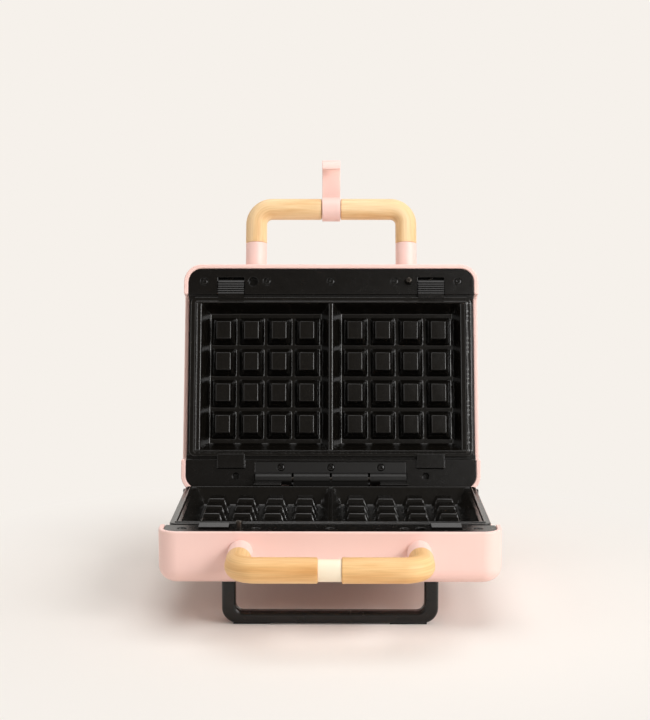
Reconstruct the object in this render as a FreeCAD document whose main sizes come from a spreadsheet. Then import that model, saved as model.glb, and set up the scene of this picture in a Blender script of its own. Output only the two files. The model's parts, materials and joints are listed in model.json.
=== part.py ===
import FreeCAD
import Part
import Sketcher
import math
import os
import re

# Waffle maker: two hinged halves with removable plates, wood handles and loop legs.
# Each half is drawn in its own frame: origin on the hinge axis, -Y towards the handle,
# Z away from the plane where the halves meet. The base is the half turned over,
# and the lid is the half swung open.

# Driving dimensions, millimetres and degrees
DIMENSIONS = {
    "body_width": 240.0,
    "body_depth": 187.0,
    "half_height": 37.5,
    "corner_radius": 14.5,
    "edge_radius": 11.0,
    "wall": 3.5,
    "floor_wall": 2.5,
    "closed_gap": 3.0,
    "hinge_inset": 11.0,
    "open_angle": 106.0,
    "stop_gap": 0.3,
    "notch_radius": 3.5,
    "fit_gap": 0.25,
    "frame_recess": 0.6,
    "frame_depth": 18.0,
    "rail_width": 5.4,
    "plate_margin": 6.0,
    "plate_front": 27.2,
    "plate_rear": 29.4,
    "plate_recess": 0.2,
    "plate_gap": 2.2,
    "plate_corner": 5.0,
    "flange_thickness": 2.4,
    "flange_ledge": 1.8,
    "ridge_inset": 3.4,
    "ridge_width": 2.0,
    "ridge_height": 0.7,
    "well_depth": 12.7,
    "well_border": 5.2,
    "well_slope": 27.0,
    "well_corner": 2.0,
    "divider_width": 3.0,
    "tub_wall": 2.4,
    "bump_height": 10.0,
    "bump_width": 19.4,
    "bump_length": 22.0,
    "bump_share": 4.6,
    "bump_share_along": 5.08,
    "bump_slope": 21.0,
    "latch_inset": 38.5,
    "latch_width": 21.0,
    "latch_length": 11.0,
    "latch_travel": 2.6,
    "latch_wing": 1.7,
    "latch_wing_top": 3.6,
    "latch_depth": 7.0,
    "latch_overlap": 1.2,
    "hook_overlap": 2.0,
    "latch_proud": 1.2,
    "latch_tongue": 0.8,
    "rib_width": 0.9,
    "rib_pitch": 1.8,
    "rib_depth": 0.5,
    "spring_bore": 2.4,
    "spring_reach": 1.6,
    "spring_strip": 0.75,
    "spring_height": 2.4,
    "spring_length": 8.4,
    "pin_inset": 56.5,
    "pin_radius": 2.4,
    "pin_height": 6.0,
    "pin_clearance": 1.4,
    "screw_row": 14.2,
    "screw_share": 0.217,
    "screw_inset": 16.5,
    "vent_inset": 44.0,
    "vent_row": 2.8,
    "vent_radius": 2.6,
    "vent_depth": 5.0,
    "lid_rear_screw": 40.0,
    "base_rear_screw": 32.0,
    "rear_screw_row": 9.7,
    "screw_head_radius": 2.8,
    "screw_head_height": 1.3,
    "screw_shank_radius": 1.5,
    "screw_clearance": 0.1,
    "boss_radius": 3.6,
    "boss_depth": 7.0,
    "hook_width": 22.0,
    "hook_length": 7.3,
    "hook_proud": 2.6,
    "lid_hook_inset": 40.0,
    "base_hook_inset": 70.0,
    "knuckle_radius": 5.2,
    "knuckle_length": 29.0,
    "knuckle_gap": 1.5,
    "hinge_pin_radius": 2.0,
    "hinge_clearance": 0.05,
    "hinge_leaf": 1.6,
    "hinge_leaf_length": 14.0,
    "hinge_web": 2.6,
    "hinge_web_offset": 2.4,
    "running_gap": 0.4,
    "grip_radius": 8.7,
    "grip_bend": 13.0,
    "handle_width": 141.0,
    "handle_reach": 49.5,
    "handle_level": 14.0,
    "post_length": 20.4,
    "post_radius": 8.6,
    "dowel_radius": 4.0,
    "dowel_length": 7.0,
    "groove_width": 16.0,
    "core_radius": 7.5,
    "handle_screw_radius": 1.75,
    "handle_screw_length": 16.0,
    "clip_width": 15.0,
    "clip_thickness": 2.2,
    "clip_gap": 0.3,
    "clip_hook_gap": 0.8,
    "clip_lip_angle": 25.0,
    "leg_spread": 152.0,
    "leg_height": 31.5,
    "leg_bar": 8.8,
    "leg_thickness": 10.0,
    "leg_post": 9.8,
    "leg_corner": 11.0,
    "leg_inset": 16.0,
    "leg_edge": 3.2,
    "pad_length": 26.0,
    "pad_width": 6.0,
    "pad_thickness": 1.6,
    "pad_sink": 1.0,
    "pad_spacing": 110.0,
    "reflector_sheet": 0.8,
    "reflector_depth": 6.5,
    "reflector_width": 206.0,
    "reflector_length": 112.0,
    "heater_radius": 3.2,
    "heater_width": 170.0,
    "heater_length": 84.0,
    "heater_bend": 16.0,
    "thermostat_radius": 8.0,
    "thermostat_height": 6.0,
    "terminal_length": 22.0,
    "terminal_offset": 5.0,
    "terminal_width": 12.0,
    "terminal_height": 11.0,
    "gland_radius": 4.6,
    "gland_flange": 6.2,
    "gland_bore": 3.3,
    "gland_proud": 2.5,
    "gland_offset": 62.0,
    "lens_radius": 3.0,
    "lens_spacing": 24.0,
    "lens_row": 60.0,
    "lens_proud": 1.0,
    "lamp_board_thickness": 1.6,
}

doc = FreeCAD.newDocument("waffle_maker")
sheet = doc.addObject("Spreadsheet::Sheet", "Dims")
for row, (alias, size) in enumerate(DIMENSIONS.items(), start=1):
    sheet.set(f"A{row}", alias)
    sheet.set(f"B{row}", str(size))
    sheet.setAlias(f"B{row}", alias)
doc.recompute()

NAMES = re.compile(r"\b(" + "|".join(sorted(DIMENSIONS, key=len, reverse=True)) + r")\b")


def bind(text):
    """Expression text with each dimension's name pointing at its sheet cell."""
    return NAMES.sub(r"Dims.\1", text)


def number(text):
    """The value of an expression, as a plain float."""
    found = sheet.evalExpression(bind(text))
    return float(getattr(found, "Value", found))


# Levels and places that several pieces share
RIM = "(closed_gap / 2)"
FRONT = "(hinge_inset - body_depth)"
REAR = "hinge_inset"
OUTSIDE = f"({RIM} + half_height)"
INSIDE = f"({OUTSIDE} - floor_wall)"
LEAN = "(open_angle - 90)"
NOTCH = f"((hinge_inset * (1 + sin{LEAN}) + stop_gap) / cos{LEAN} - closed_gap / 2)"
PLATE_SIDE = "(body_width / 2 - plate_margin)"
PLATE_FRONT = f"({FRONT} + plate_front)"
PLATE_REAR = f"({REAR} - plate_rear)"
PLATE_MIDDLE = f"(({PLATE_FRONT} + {PLATE_REAR}) / 2)"
PLATE_FACE = f"({RIM} + plate_recess)"
LEDGE = f"({PLATE_FACE} + flange_thickness)"
STRIP_FRONT = f"({PLATE_FRONT} - plate_gap)"
STRIP_REAR = f"({PLATE_REAR} + plate_gap)"
STRIP_TOP = f"({RIM} + frame_recess)"
FRAME_BOTTOM = f"({RIM} + frame_depth)"
SCREW_ROW = f"({FRONT} + screw_row)"
LATCH_ACROSS = "(body_width / 2 - latch_inset)"
PIN_ACROSS = "(body_width / 2 - pin_inset)"
REAR_SCREW_ROW = "(-rear_screw_row)"
WELL_BOTTOM = f"({PLATE_FACE} + well_depth)"
TUB_BOTTOM = f"({WELL_BOTTOM} + tub_wall)"
HANDLE_LEVEL = f"({RIM} + handle_level)"
HANDLE_BAR = f"({FRONT} - handle_reach)"
POST_END = f"({FRONT} - post_length)"
POST_ACROSS = "(handle_width / 2 - grip_radius)"
REFLECTOR_FLOOR = f"({FRAME_BOTTOM} + reflector_depth)"
HEATER_LEVEL = f"({TUB_BOTTOM} + heater_radius + fit_gap)"

# The clip's arm spans the two handle bars when the halves are closed
CLIP_SPAN = f"(2 * {HANDLE_LEVEL})"

# Where the halves stand: the hinge axis over the floor, and the middle of the whole over the origin
REAR_REACH = (f"(({CLIP_SPAN} - {HANDLE_BAR}) * sin{LEAN} + {HANDLE_LEVEL} * cos{LEAN}"
              " + core_radius + clip_hook_gap + clip_thickness)")
FLOOR_DROP = f"({OUTSIDE} + leg_height)"
FRONT_REACH = "(body_depth - hinge_inset + handle_reach + grip_radius)"
HINGE_POINT = FreeCAD.Vector(0, number(f"({FRONT_REACH} - {REAR_REACH}) / 2"), number(FLOOR_DROP))
BASE_PLACE = FreeCAD.Placement(HINGE_POINT, FreeCAD.Rotation(FreeCAD.Vector(0, 1, 0), 180))
LID_PLACE = FreeCAD.Placement(HINGE_POINT, FreeCAD.Rotation(FreeCAD.Vector(1, 0, 0), -number("open_angle")))
PLACES = {"base": BASE_PLACE, "lid": LID_PLACE}

made_nodes = []


def new_body(label, place):
    body = doc.addObject("PartDesign::Body", label)
    body.Placement = place
    made_nodes.append(body)
    return body


def new_sketch(body, role="XY_Plane", offset="0"):
    drawn = body.newObject("Sketcher::SketchObject", "Sketch")
    plane = next(part for part in body.Origin.OriginFeatures if part.Role == role)
    drawn.AttachmentSupport = [(plane, "")]
    drawn.MapMode = "FlatFace"
    drawn.setExpression("AttachmentOffset.Base.z", bind(offset))
    return drawn


def fix(drawn, kind, item, point, text):
    """Hold one point at a signed distance from the sketch origin."""
    place = drawn.addConstraint(Sketcher.Constraint(kind, -1, 1, item, point, number(text)))
    name = f"size_{place}"
    drawn.renameConstraint(place, name)
    drawn.setExpression(f"Constraints.{name}", bind(text))


def hold_radius(drawn, item, text):
    place = drawn.addConstraint(Sketcher.Constraint("Radius", item, number(text)))
    name = f"size_{place}"
    drawn.renameConstraint(place, name)
    drawn.setExpression(f"Constraints.{name}", bind(text))


def line(drawn, start, end):
    first = FreeCAD.Vector(start[0], start[1], 0)
    return drawn.addGeometry(Part.LineSegment(first, FreeCAD.Vector(end[0], end[1], 0)), False)


def polygon(drawn, points):
    """Closed outline through corners given as pairs of expressions."""
    corners = [(number(across), number(along)) for across, along in points]
    count = len(corners)
    items = [line(drawn, corners[k], corners[(k + 1) % count]) for k in range(count)]
    for k in range(count):
        drawn.addConstraint(Sketcher.Constraint("Coincident", items[k], 2, items[(k + 1) % count], 1))
    for item, (across, along) in zip(items, points):
        fix(drawn, "DistanceX", item, 1, across)
        fix(drawn, "DistanceY", item, 1, along)


def rectangle(drawn, left, right, low, high):
    polygon(drawn, [(left, low), (right, low), (right, high), (left, high)])


def rounded_rectangle(drawn, left, right, low, high, radius):
    """Rectangle with four equal round corners, held by its sides and its radius."""
    x0, x1, y0, y1, r = (number(text) for text in (left, right, low, high, radius))
    sides = [
        line(drawn, (x0 + r, y0), (x1 - r, y0)),
        line(drawn, (x1, y0 + r), (x1, y1 - r)),
        line(drawn, (x1 - r, y1), (x0 + r, y1)),
        line(drawn, (x0, y1 - r), (x0, y0 + r)),
    ]
    centres = [(x1 - r, y0 + r), (x1 - r, y1 - r), (x0 + r, y1 - r), (x0 + r, y0 + r)]
    arcs = []
    for k, (across, along) in enumerate(centres):
        circle = Part.Circle(FreeCAD.Vector(across, along, 0), FreeCAD.Vector(0, 0, 1), r)
        start = math.radians(90 * k - 90)
        arcs.append(drawn.addGeometry(Part.ArcOfCircle(circle, start, start + math.pi / 2), False))
    for k in range(4):
        drawn.addConstraint(Sketcher.Constraint("Tangent", sides[k], 2, arcs[k], 1))
        drawn.addConstraint(Sketcher.Constraint("Tangent", arcs[k], 2, sides[(k + 1) % 4], 1))
        if k:
            drawn.addConstraint(Sketcher.Constraint("Equal", arcs[0], arcs[k]))
    drawn.addConstraint(Sketcher.Constraint("Horizontal", sides[0]))
    drawn.addConstraint(Sketcher.Constraint("Vertical", sides[1]))
    fix(drawn, "DistanceY", sides[0], 1, low)
    fix(drawn, "DistanceX", sides[1], 1, right)
    fix(drawn, "DistanceY", sides[2], 1, high)
    fix(drawn, "DistanceX", sides[3], 1, left)
    hold_radius(drawn, arcs[0], radius)


def circles(drawn, centres, radius):
    """Equal circles at centres given as pairs of expressions."""
    for across, along in centres:
        middle = FreeCAD.Vector(number(across), number(along), 0)
        item = drawn.addGeometry(Part.Circle(middle, FreeCAD.Vector(0, 0, 1), number(radius)), False)
        fix(drawn, "DistanceX", item, 3, across)
        fix(drawn, "DistanceY", item, 3, along)
        hold_radius(drawn, item, radius)


def feature(body, kind, drawn, length, reverse=False, taper=None, both=False):
    made = body.newObject(f"PartDesign::{kind}", kind)
    made.Profile = drawn
    made.setExpression("Length", bind(length))
    made.Reversed = reverse
    if taper is not None:
        made.setExpression("TaperAngle", bind(taper))
    if both:
        made.SideType = "Symmetric"
    doc.recompute()
    return made


def pad(body, drawn, length, **options):
    return feature(body, "Pad", drawn, length, **options)


def pocket(body, drawn, length, **options):
    """Cut a sketch's outline; a cut that takes nothing away is an error."""
    before = body.Shape.Volume
    made = feature(body, "Pocket", drawn, length, **options)
    if body.Shape.Volume > before - 1e-6:
        raise RuntimeError(f"a cut in {body.Label} removes nothing")
    return made


def fillet(body, radius, wanted, kind="Fillet"):
    """Round the edges of the tip for which wanted(edge) is true."""
    tip = body.Tip
    names = [f"Edge{k}" for k, edge in enumerate(tip.Shape.Edges, start=1) if wanted(edge)]
    if not names:
        raise RuntimeError(f"no edge to round in {body.Label}")
    made = body.newObject(f"PartDesign::{kind}", kind)
    made.Base = (tip, names)
    made.setExpression("Radius", bind(radius))
    doc.recompute()
    if "Invalid" in made.State:
        raise RuntimeError(f"an edge of {body.Label} can't be rounded")
    return made


def at_level(level, size=1e-4):
    """Test for edges that lie flat at one Z."""
    height = number(level)

    def wanted(edge):
        box = edge.BoundBox
        return abs(box.ZMin - height) < size and abs(box.ZMax - height) < size

    return wanted


def mirrored(spots):
    """Each spot and its twin on the other side of the middle."""
    return [(f"({sign}({across}))", along) for across, along in spots for sign in ("", "-")]


def screw_spots(half):
    front = [("0", SCREW_ROW)] + mirrored([("body_width * screw_share", SCREW_ROW), ("body_width / 2 - screw_inset", SCREW_ROW)])
    rear = [("0", REAR_SCREW_ROW)] + mirrored([(f"{half}_rear_screw", REAR_SCREW_ROW)])
    return front, rear


def rear_strip_top(half):
    """Level of the black strip beside the hinge, which the base keeps low for the lid to swing."""
    if half == "base":
        return f"({RIM} + {NOTCH} + frame_recess)"
    return STRIP_TOP


# Pink housings

def make_shell(half):
    body = new_body(f"{half}_shell", PLACES[half])
    outline = new_sketch(body, offset=RIM)
    rounded_rectangle(outline, "-body_width / 2", "body_width / 2", FRONT, REAR, "corner_radius")
    pad(body, outline, "half_height")
    hollow = new_sketch(body, offset=RIM)
    rounded_rectangle(hollow, "wall - body_width / 2", "body_width / 2 - wall",
                      f"{FRONT} + wall", f"{REAR} - wall", "corner_radius - wall")
    pocket(body, hollow, "half_height - floor_wall", reverse=True)
    fillet(body, "edge_radius - wall", at_level(INSIDE))
    fillet(body, "edge_radius", at_level(OUTSIDE))
    # The side walls drop beside the plate, and the base's rear wall with them
    notch_end = f"{REAR} + wall" if half == "base" else STRIP_REAR
    notch = new_sketch(body, "YZ_Plane")
    rectangle(notch, STRIP_FRONT, notch_end, f"{RIM} - wall", f"{RIM} + {NOTCH}")
    pocket(body, notch, "body_width * 2", both=True)
    level = number(f"{RIM} + {NOTCH}")
    ends = [number(STRIP_FRONT)] if half == "base" else [number(STRIP_FRONT), number(STRIP_REAR)]

    def notch_corner(edge):
        box = edge.BoundBox
        flat = abs(box.ZMin - level) < 1e-4 and abs(box.ZMax - level) < 1e-4
        return flat and box.YLength < 1e-4 and any(abs(box.YMin - end) < 1e-4 for end in ends)

    fillet(body, "notch_radius", notch_corner)
    # Screw bosses under the inner frame
    front, rear = screw_spots(half)
    bosses = new_sketch(body, offset=FRAME_BOTTOM)
    circles(bosses, front + rear, "boss_radius")
    pad(body, bosses, f"{OUTSIDE} - floor_wall / 2 - {FRAME_BOTTOM}")
    pilots = new_sketch(body, offset=FRAME_BOTTOM)
    circles(pilots, front + rear, "screw_shank_radius + screw_clearance")
    pocket(body, pilots, "boss_depth", reverse=True)
    # Handle screw holes through the front wall
    holes = new_sketch(body, "XZ_Plane", f"-{FRONT} - wall / 2")
    circles(holes, mirrored([(POST_ACROSS, HANDLE_LEVEL)]), "handle_screw_radius + screw_clearance")
    pocket(body, holes, "wall * 2", both=True)
    return body


def finish_base_shell(body):
    outlet = new_sketch(body, "XZ_Plane", f"wall / 2 - {REAR}")
    circles(outlet, [("gland_offset", GLAND_LEVEL)], "gland_radius + fit_gap")
    pocket(body, outlet, "wall * 2", both=True)
    holes = new_sketch(body, offset=OUTSIDE)
    circles(holes, leg_screw_spots(), "screw_shank_radius + screw_clearance")
    pocket(body, holes, "floor_wall * 2", both=True)


def finish_lid_shell(body):
    holes = new_sketch(body, offset=OUTSIDE)
    circles(holes, lens_spots(), "lens_radius + fit_gap")
    pocket(body, holes, "floor_wall * 2", both=True)


# Black inner frames

def make_frame(half):
    body = new_body(f"{half}_inner_frame", PLACES[half])
    inner = "body_width / 2 - wall - fit_gap"
    outline = new_sketch(body, offset=STRIP_TOP)
    rounded_rectangle(outline, f"-({inner})", inner, f"{FRONT} + wall + fit_gap", f"{REAR} - wall - fit_gap",
                      "corner_radius - wall - fit_gap")
    pad(body, outline, f"{FRAME_BOTTOM} - {STRIP_TOP}")
    window_front = f"({PLATE_FRONT} + flange_ledge)"
    window_rear = f"({PLATE_REAR} - flange_ledge)"
    window_side = f"({inner} - rail_width)"
    seat = new_sketch(body, "YZ_Plane")
    rectangle(seat, STRIP_FRONT, STRIP_REAR, f"{RIM} - wall", LEDGE)
    pocket(body, seat, "body_width * 2", both=True)
    rails = new_sketch(body, "YZ_Plane")
    rectangle(rails, window_front, window_rear, f"{RIM} - wall", f"{RIM} + {NOTCH} + fit_gap")
    pocket(body, rails, "body_width * 2", both=True)
    window = new_sketch(body, offset=RIM)
    rectangle(window, f"-{window_side}", window_side, window_front, window_rear)
    pocket(body, window, "half_height", reverse=True)
    if half == "base":
        low = new_sketch(body, "YZ_Plane")
        rectangle(low, STRIP_REAR, f"{REAR} + wall", f"{RIM} - wall", rear_strip_top(half))
        pocket(body, low, "body_width * 2", both=True)
    # Slots of the plate latches, wider below so that the latch can't lift out
    for sign in ("", "-"):
        slot = new_sketch(body, "XZ_Plane", f"-{STRIP_FRONT}")
        slot_profile(slot, f"({sign}{LATCH_ACROSS})", "fit_gap", "latch_depth")
        pocket(body, slot, f"latch_length + latch_travel + 2 * stop_gap", reverse=True)
    front, rear = screw_spots(half)
    spots_and_tops = [(front, STRIP_TOP), (rear, rear_strip_top(half))]
    for spots, top in spots_and_tops:
        sinks = new_sketch(body, offset=top)
        circles(sinks, spots, "screw_head_radius + fit_gap")
        pocket(body, sinks, "screw_head_height + fit_gap", reverse=True)
        shanks = new_sketch(body, offset=top)
        circles(shanks, spots, "screw_shank_radius + screw_clearance")
        pocket(body, shanks, "frame_depth * 2", reverse=True)
    # Room for the heads of the handle screws
    heads = new_sketch(body, offset=FRAME_BOTTOM)
    head_room = "(2 * handle_screw_radius + fit_gap)"
    for sign in ("", "-"):
        rectangle(heads, f"{sign}{POST_ACROSS} - {head_room}", f"{sign}{POST_ACROSS} + {head_room}",
                  FRONT, f"{FRONT} + wall + 1.5 * screw_head_height + fit_gap")
    pocket(body, heads, f"{FRAME_BOTTOM} - {HANDLE_LEVEL} + {head_room}")
    # Plate hooks, whose lips lie over the plate's rear edge
    hook_place = f"body_width / 2 - {half}_hook_inset"
    for sign in ("", "-"):
        hook = new_sketch(body, "YZ_Plane", f"{sign}({hook_place})")
        lip_under = f"({PLATE_FACE} - fit_gap)"
        lip_top = f"({STRIP_TOP} - hook_proud)"
        lip_end = f"({PLATE_REAR} - hook_overlap)"
        hook_back = f"({STRIP_REAR} + hook_length)"
        foot = f"({rear_strip_top(half)} + wall)"
        polygon(hook, [(lip_end, lip_under), (lip_end, lip_top), (hook_back, lip_top), (hook_back, foot),
                       (STRIP_REAR, foot), (STRIP_REAR, lip_under)])
        pad(body, hook, "hook_width", both=True)
    if half == "lid":
        # Seat of the hinge leaf and room for the barrel
        leaf = new_sketch(body, offset=STRIP_TOP)
        rectangle(leaf, f"-{HINGE_HALF} - screw_clearance", f"{HINGE_HALF} + screw_clearance",
                  "-hinge_leaf_length - screw_clearance", "knuckle_radius + running_gap")
        pocket(body, leaf, "hinge_leaf", reverse=True)
        barrel = new_sketch(body, "YZ_Plane")
        circles(barrel, [("0", "0")], "knuckle_radius + running_gap")
        pocket(body, barrel, f"2 * {HINGE_HALF} + 2 * running_gap", both=True)
        vents = new_sketch(body, offset=STRIP_TOP)
        circles(vents, mirrored([("body_width / 2 - vent_inset", "-vent_row")]), "vent_radius")
        pocket(body, vents, "vent_depth", reverse=True)
    # A socket for the other half's locating pin, and the hole of this half's own
    socket = new_sketch(body, offset=STRIP_TOP)
    circles(socket, [(f"-{PIN_ACROSS}", SCREW_ROW)], "pin_radius + pin_clearance")
    pocket(body, socket, "pin_height", reverse=True)
    seat = new_sketch(body, offset=STRIP_TOP)
    circles(seat, [(PIN_ACROSS, SCREW_ROW)], "pin_radius")
    pocket(body, seat, "pin_height", reverse=True)
    return body


def slot_profile(drawn, middle, gap, depth):
    """T outline of a latch and its slot, across X and down from the strip's top."""
    half = f"(latch_width / 2 + {gap})"
    wide = f"(latch_width / 2 + latch_wing + {gap})"
    top = f"({RIM} - wall)"
    step = f"({STRIP_TOP} + latch_wing_top - {gap})"
    bottom = f"({STRIP_TOP} + {depth} + {gap})"
    polygon(drawn, [(f"{middle} - {half}", top), (f"{middle} + {half}", top), (f"{middle} + {half}", step),
                    (f"{middle} + {wide}", step), (f"{middle} + {wide}", bottom),
                    (f"{middle} - {wide}", bottom), (f"{middle} - {wide}", step), (f"{middle} - {half}", step)])


# Plate latches and their springs

LATCH_TOP = f"({PLATE_FACE} - fit_gap - latch_proud)"
TONGUE_TOP = f"({PLATE_FACE} - fit_gap - latch_tongue)"
LATCH_BACK = f"({STRIP_FRONT} - stop_gap)"
LATCH_FRONT = f"({LATCH_BACK} - latch_length)"
SPRING_LEVEL = f"({STRIP_TOP} + latch_depth / 2)"
SPRING_END = f"({LATCH_FRONT} - latch_travel - stop_gap)"


def make_latch(half, side, sign):
    body = new_body(f"{half}_latch_{side}", PLACES[half])
    middle = f"({sign}{LATCH_ACROSS})"
    half_width = "(latch_width / 2)"
    wide = "(latch_width / 2 + latch_wing)"
    step = f"({STRIP_TOP} + latch_wing_top)"
    bottom = f"({STRIP_TOP} + latch_depth)"
    block = new_sketch(body, "XZ_Plane", f"-{LATCH_BACK}")
    polygon(block, [(f"{middle} - {half_width}", LATCH_TOP), (f"{middle} + {half_width}", LATCH_TOP),
                    (f"{middle} + {half_width}", step), (f"{middle} + {wide}", step),
                    (f"{middle} + {wide}", bottom), (f"{middle} - {wide}", bottom),
                    (f"{middle} - {wide}", step), (f"{middle} - {half_width}", step)])
    pad(body, block, "latch_length")
    tongue = new_sketch(body, offset=TONGUE_TOP)
    rectangle(tongue, f"{middle} - {half_width}", f"{middle} + {half_width}",
              LATCH_BACK, f"{PLATE_FRONT} + latch_overlap")
    pad(body, tongue, "latch_tongue")
    bore = new_sketch(body, "XZ_Plane", f"-{LATCH_FRONT}")
    circles(bore, [(middle, SPRING_LEVEL)], "spring_bore")
    pocket(body, bore, "spring_length - latch_travel - stop_gap + fit_gap")
    # Finger ribs across the top
    ribs = new_sketch(body, "YZ_Plane", middle)
    rectangle(ribs, f"{LATCH_FRONT} + rib_pitch - rib_width", f"{LATCH_FRONT} + rib_pitch",
              f"{LATCH_TOP} - rib_depth", f"{LATCH_TOP} + rib_depth")
    cut = pocket(body, ribs, "latch_width * 2", both=True)
    pattern = body.newObject("PartDesign::LinearPattern", "LinearPattern")
    pattern.Originals = [cut]
    pattern.Direction = (ribs, ["H_Axis"])
    pattern.Occurrences = int(number("latch_length") / number("rib_pitch"))
    pattern.Length = number("rib_pitch") * (pattern.Occurrences - 1)
    body.Tip = pattern
    doc.recompute()
    return body


def make_spring(half, side, sign):
    """Zigzag spring of flat steel strip, lying in the latch's bore."""
    body = new_body(f"{half}_latch_spring_{side}", PLACES[half])
    middle = f"({sign}{LATCH_ACROSS})"
    legs = 5
    near, far = [], []
    for k in range(legs + 1):
        swing = "-" if k % 2 else "+"
        along = f"({SPRING_END} + fit_gap / 2 + (spring_length - fit_gap) * {k} / {legs})"
        near.append((f"{middle} {swing} spring_reach - spring_strip / 2", along))
        far.append((f"{middle} {swing} spring_reach + spring_strip / 2", along))
    zigzag = new_sketch(body, offset=SPRING_LEVEL)
    polygon(zigzag, near + far[::-1])
    pad(body, zigzag, "spring_height", both=True)
    return body


# Waffle plates

def make_plate(half):
    body = new_body(f"{half}_waffle_plate", PLACES[half])
    flange = new_sketch(body, offset=PLATE_FACE)
    rounded_rectangle(flange, f"-{PLATE_SIDE}", PLATE_SIDE, PLATE_FRONT, PLATE_REAR, "plate_corner")
    pad(body, flange, "flange_thickness")
    ridge = new_sketch(body, offset=PLATE_FACE)
    for inset in ("ridge_inset", "(ridge_inset + ridge_width)"):
        rounded_rectangle(ridge, f"{inset} - {PLATE_SIDE}", f"{PLATE_SIDE} - {inset}",
                          f"{PLATE_FRONT} + {inset}", f"{PLATE_REAR} - {inset}", f"plate_corner - {inset} / 2")
    pad(body, ridge, "ridge_height", reverse=True)
    well_side = f"({PLATE_SIDE} - ridge_inset - well_border)"
    well_front = f"({PLATE_FRONT} + well_border)"
    well_rear = f"({PLATE_REAR} - well_border)"
    tub = new_sketch(body, offset=PLATE_FACE)
    tub_inset = "(flange_ledge + fit_gap)"
    rounded_rectangle(tub, f"-{well_side} - tub_wall", f"{well_side} + tub_wall",
                      f"{PLATE_FRONT} + {tub_inset}", f"{PLATE_REAR} - {tub_inset}", "plate_corner")
    pad(body, tub, f"{TUB_BOTTOM} - {PLATE_FACE}")
    wells = new_sketch(body, offset=PLATE_FACE)
    rounded_rectangle(wells, "divider_width / 2", well_side, well_front, well_rear, "well_corner")
    rounded_rectangle(wells, f"-{well_side}", "-divider_width / 2", well_front, well_rear, "well_corner")
    pocket(body, wells, "well_depth", reverse=True, taper="-well_slope")
    # Four by four tapered blocks in each well
    bumps = new_sketch(body, offset=WELL_BOTTOM)
    pitch_across = f"(({well_side} - divider_width / 2) / bump_share)"
    pitch_along = f"(({PLATE_REAR} - {PLATE_FRONT}) / bump_share_along)"
    first_across = f"(divider_width / 4 + {well_side} / 2 - 1.5 * {pitch_across})"
    first_along = f"({PLATE_MIDDLE} - 1.5 * {pitch_along})"
    rectangle(bumps, f"{first_across} - bump_width / 2", f"{first_across} + bump_width / 2",
              f"{first_along} - bump_length / 2", f"{first_along} + bump_length / 2")
    block = pad(body, bumps, "bump_height", reverse=True, taper="-bump_slope")
    grid = body.newObject("PartDesign::MultiTransform", "MultiTransform")
    steps = []
    for axis, pitch in (("H_Axis", pitch_across), ("V_Axis", pitch_along)):
        step = body.newObject("PartDesign::LinearPattern", "LinearPattern")
        step.Direction = (bumps, [axis])
        step.setExpression("Length", bind(f"3 * {pitch}"))
        step.Occurrences = 4
        steps.append(step)
    mirror = body.newObject("PartDesign::Mirrored", "Mirrored")
    mirror.MirrorPlane = (bumps, ["V_Axis"])
    steps.append(mirror)
    grid.Originals = [block]
    grid.Transformations = steps
    body.Tip = grid
    doc.recompute()
    return body


# Heating pieces inside each half

def make_reflector(half):
    body = new_body(f"{half}_reflector", PLACES[half])
    rim = new_sketch(body, offset=FRAME_BOTTOM)
    edge = "(body_width / 2 - wall - fit_gap - rail_width / 2)"
    rectangle(rim, f"-{edge}", edge, f"{PLATE_FRONT}", f"{PLATE_REAR}")
    pad(body, rim, "reflector_sheet")
    tray = new_sketch(body, offset=FRAME_BOTTOM)
    half_length = "reflector_length / 2"
    rectangle(tray, "-reflector_width / 2", "reflector_width / 2",
              f"{PLATE_MIDDLE} - {half_length}", f"{PLATE_MIDDLE} + {half_length}")
    pad(body, tray, "reflector_depth + reflector_sheet")
    hollow = new_sketch(body, offset=FRAME_BOTTOM)
    rectangle(hollow, "reflector_sheet - reflector_width / 2", "reflector_width / 2 - reflector_sheet",
              f"{PLATE_MIDDLE} - {half_length} + reflector_sheet",
              f"{PLATE_MIDDLE} + {half_length} - reflector_sheet")
    pocket(body, hollow, "reflector_depth", reverse=True)
    # Two holes that the heater's ends pass through
    holes = new_sketch(body, offset=REFLECTOR_FLOOR)
    circles(holes, mirrored([("heater_width / 2", HEATER_END)]), "heater_radius + fit_gap")
    pocket(body, holes, "reflector_sheet * 3", both=True)
    return body


HEATER_FRONT = f"({PLATE_MIDDLE} - heater_length / 2)"
HEATER_END = f"({PLATE_MIDDLE} + heater_length / 2)"
HEATER_TAIL = f"({REFLECTOR_FLOOR} + 2 * reflector_sheet)"


def make_heater(half):
    """Tubular element: one long hairpin under the plate with both ends bent down through the tray."""
    body = new_body(f"{half}_heating_element", PLACES[half])
    half_width = "heater_width / 2"
    route = new_sketch(body, offset=HEATER_LEVEL)
    u_route(route, half_width, HEATER_END, HEATER_FRONT, "heater_bend")
    section = new_sketch(body, "XZ_Plane", f"-{HEATER_END}")
    circles(section, [(f"-{half_width}", HEATER_LEVEL)], "heater_radius")
    tube = body.newObject("PartDesign::AdditivePipe", "AdditivePipe")
    tube.Profile = section
    tube.Spine = route
    doc.recompute()
    tails = new_sketch(body, offset=HEATER_LEVEL)
    circles(tails, mirrored([(half_width, HEATER_END)]), "heater_radius")
    pad(body, tails, f"{HEATER_TAIL} - {HEATER_LEVEL}")
    return body


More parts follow.
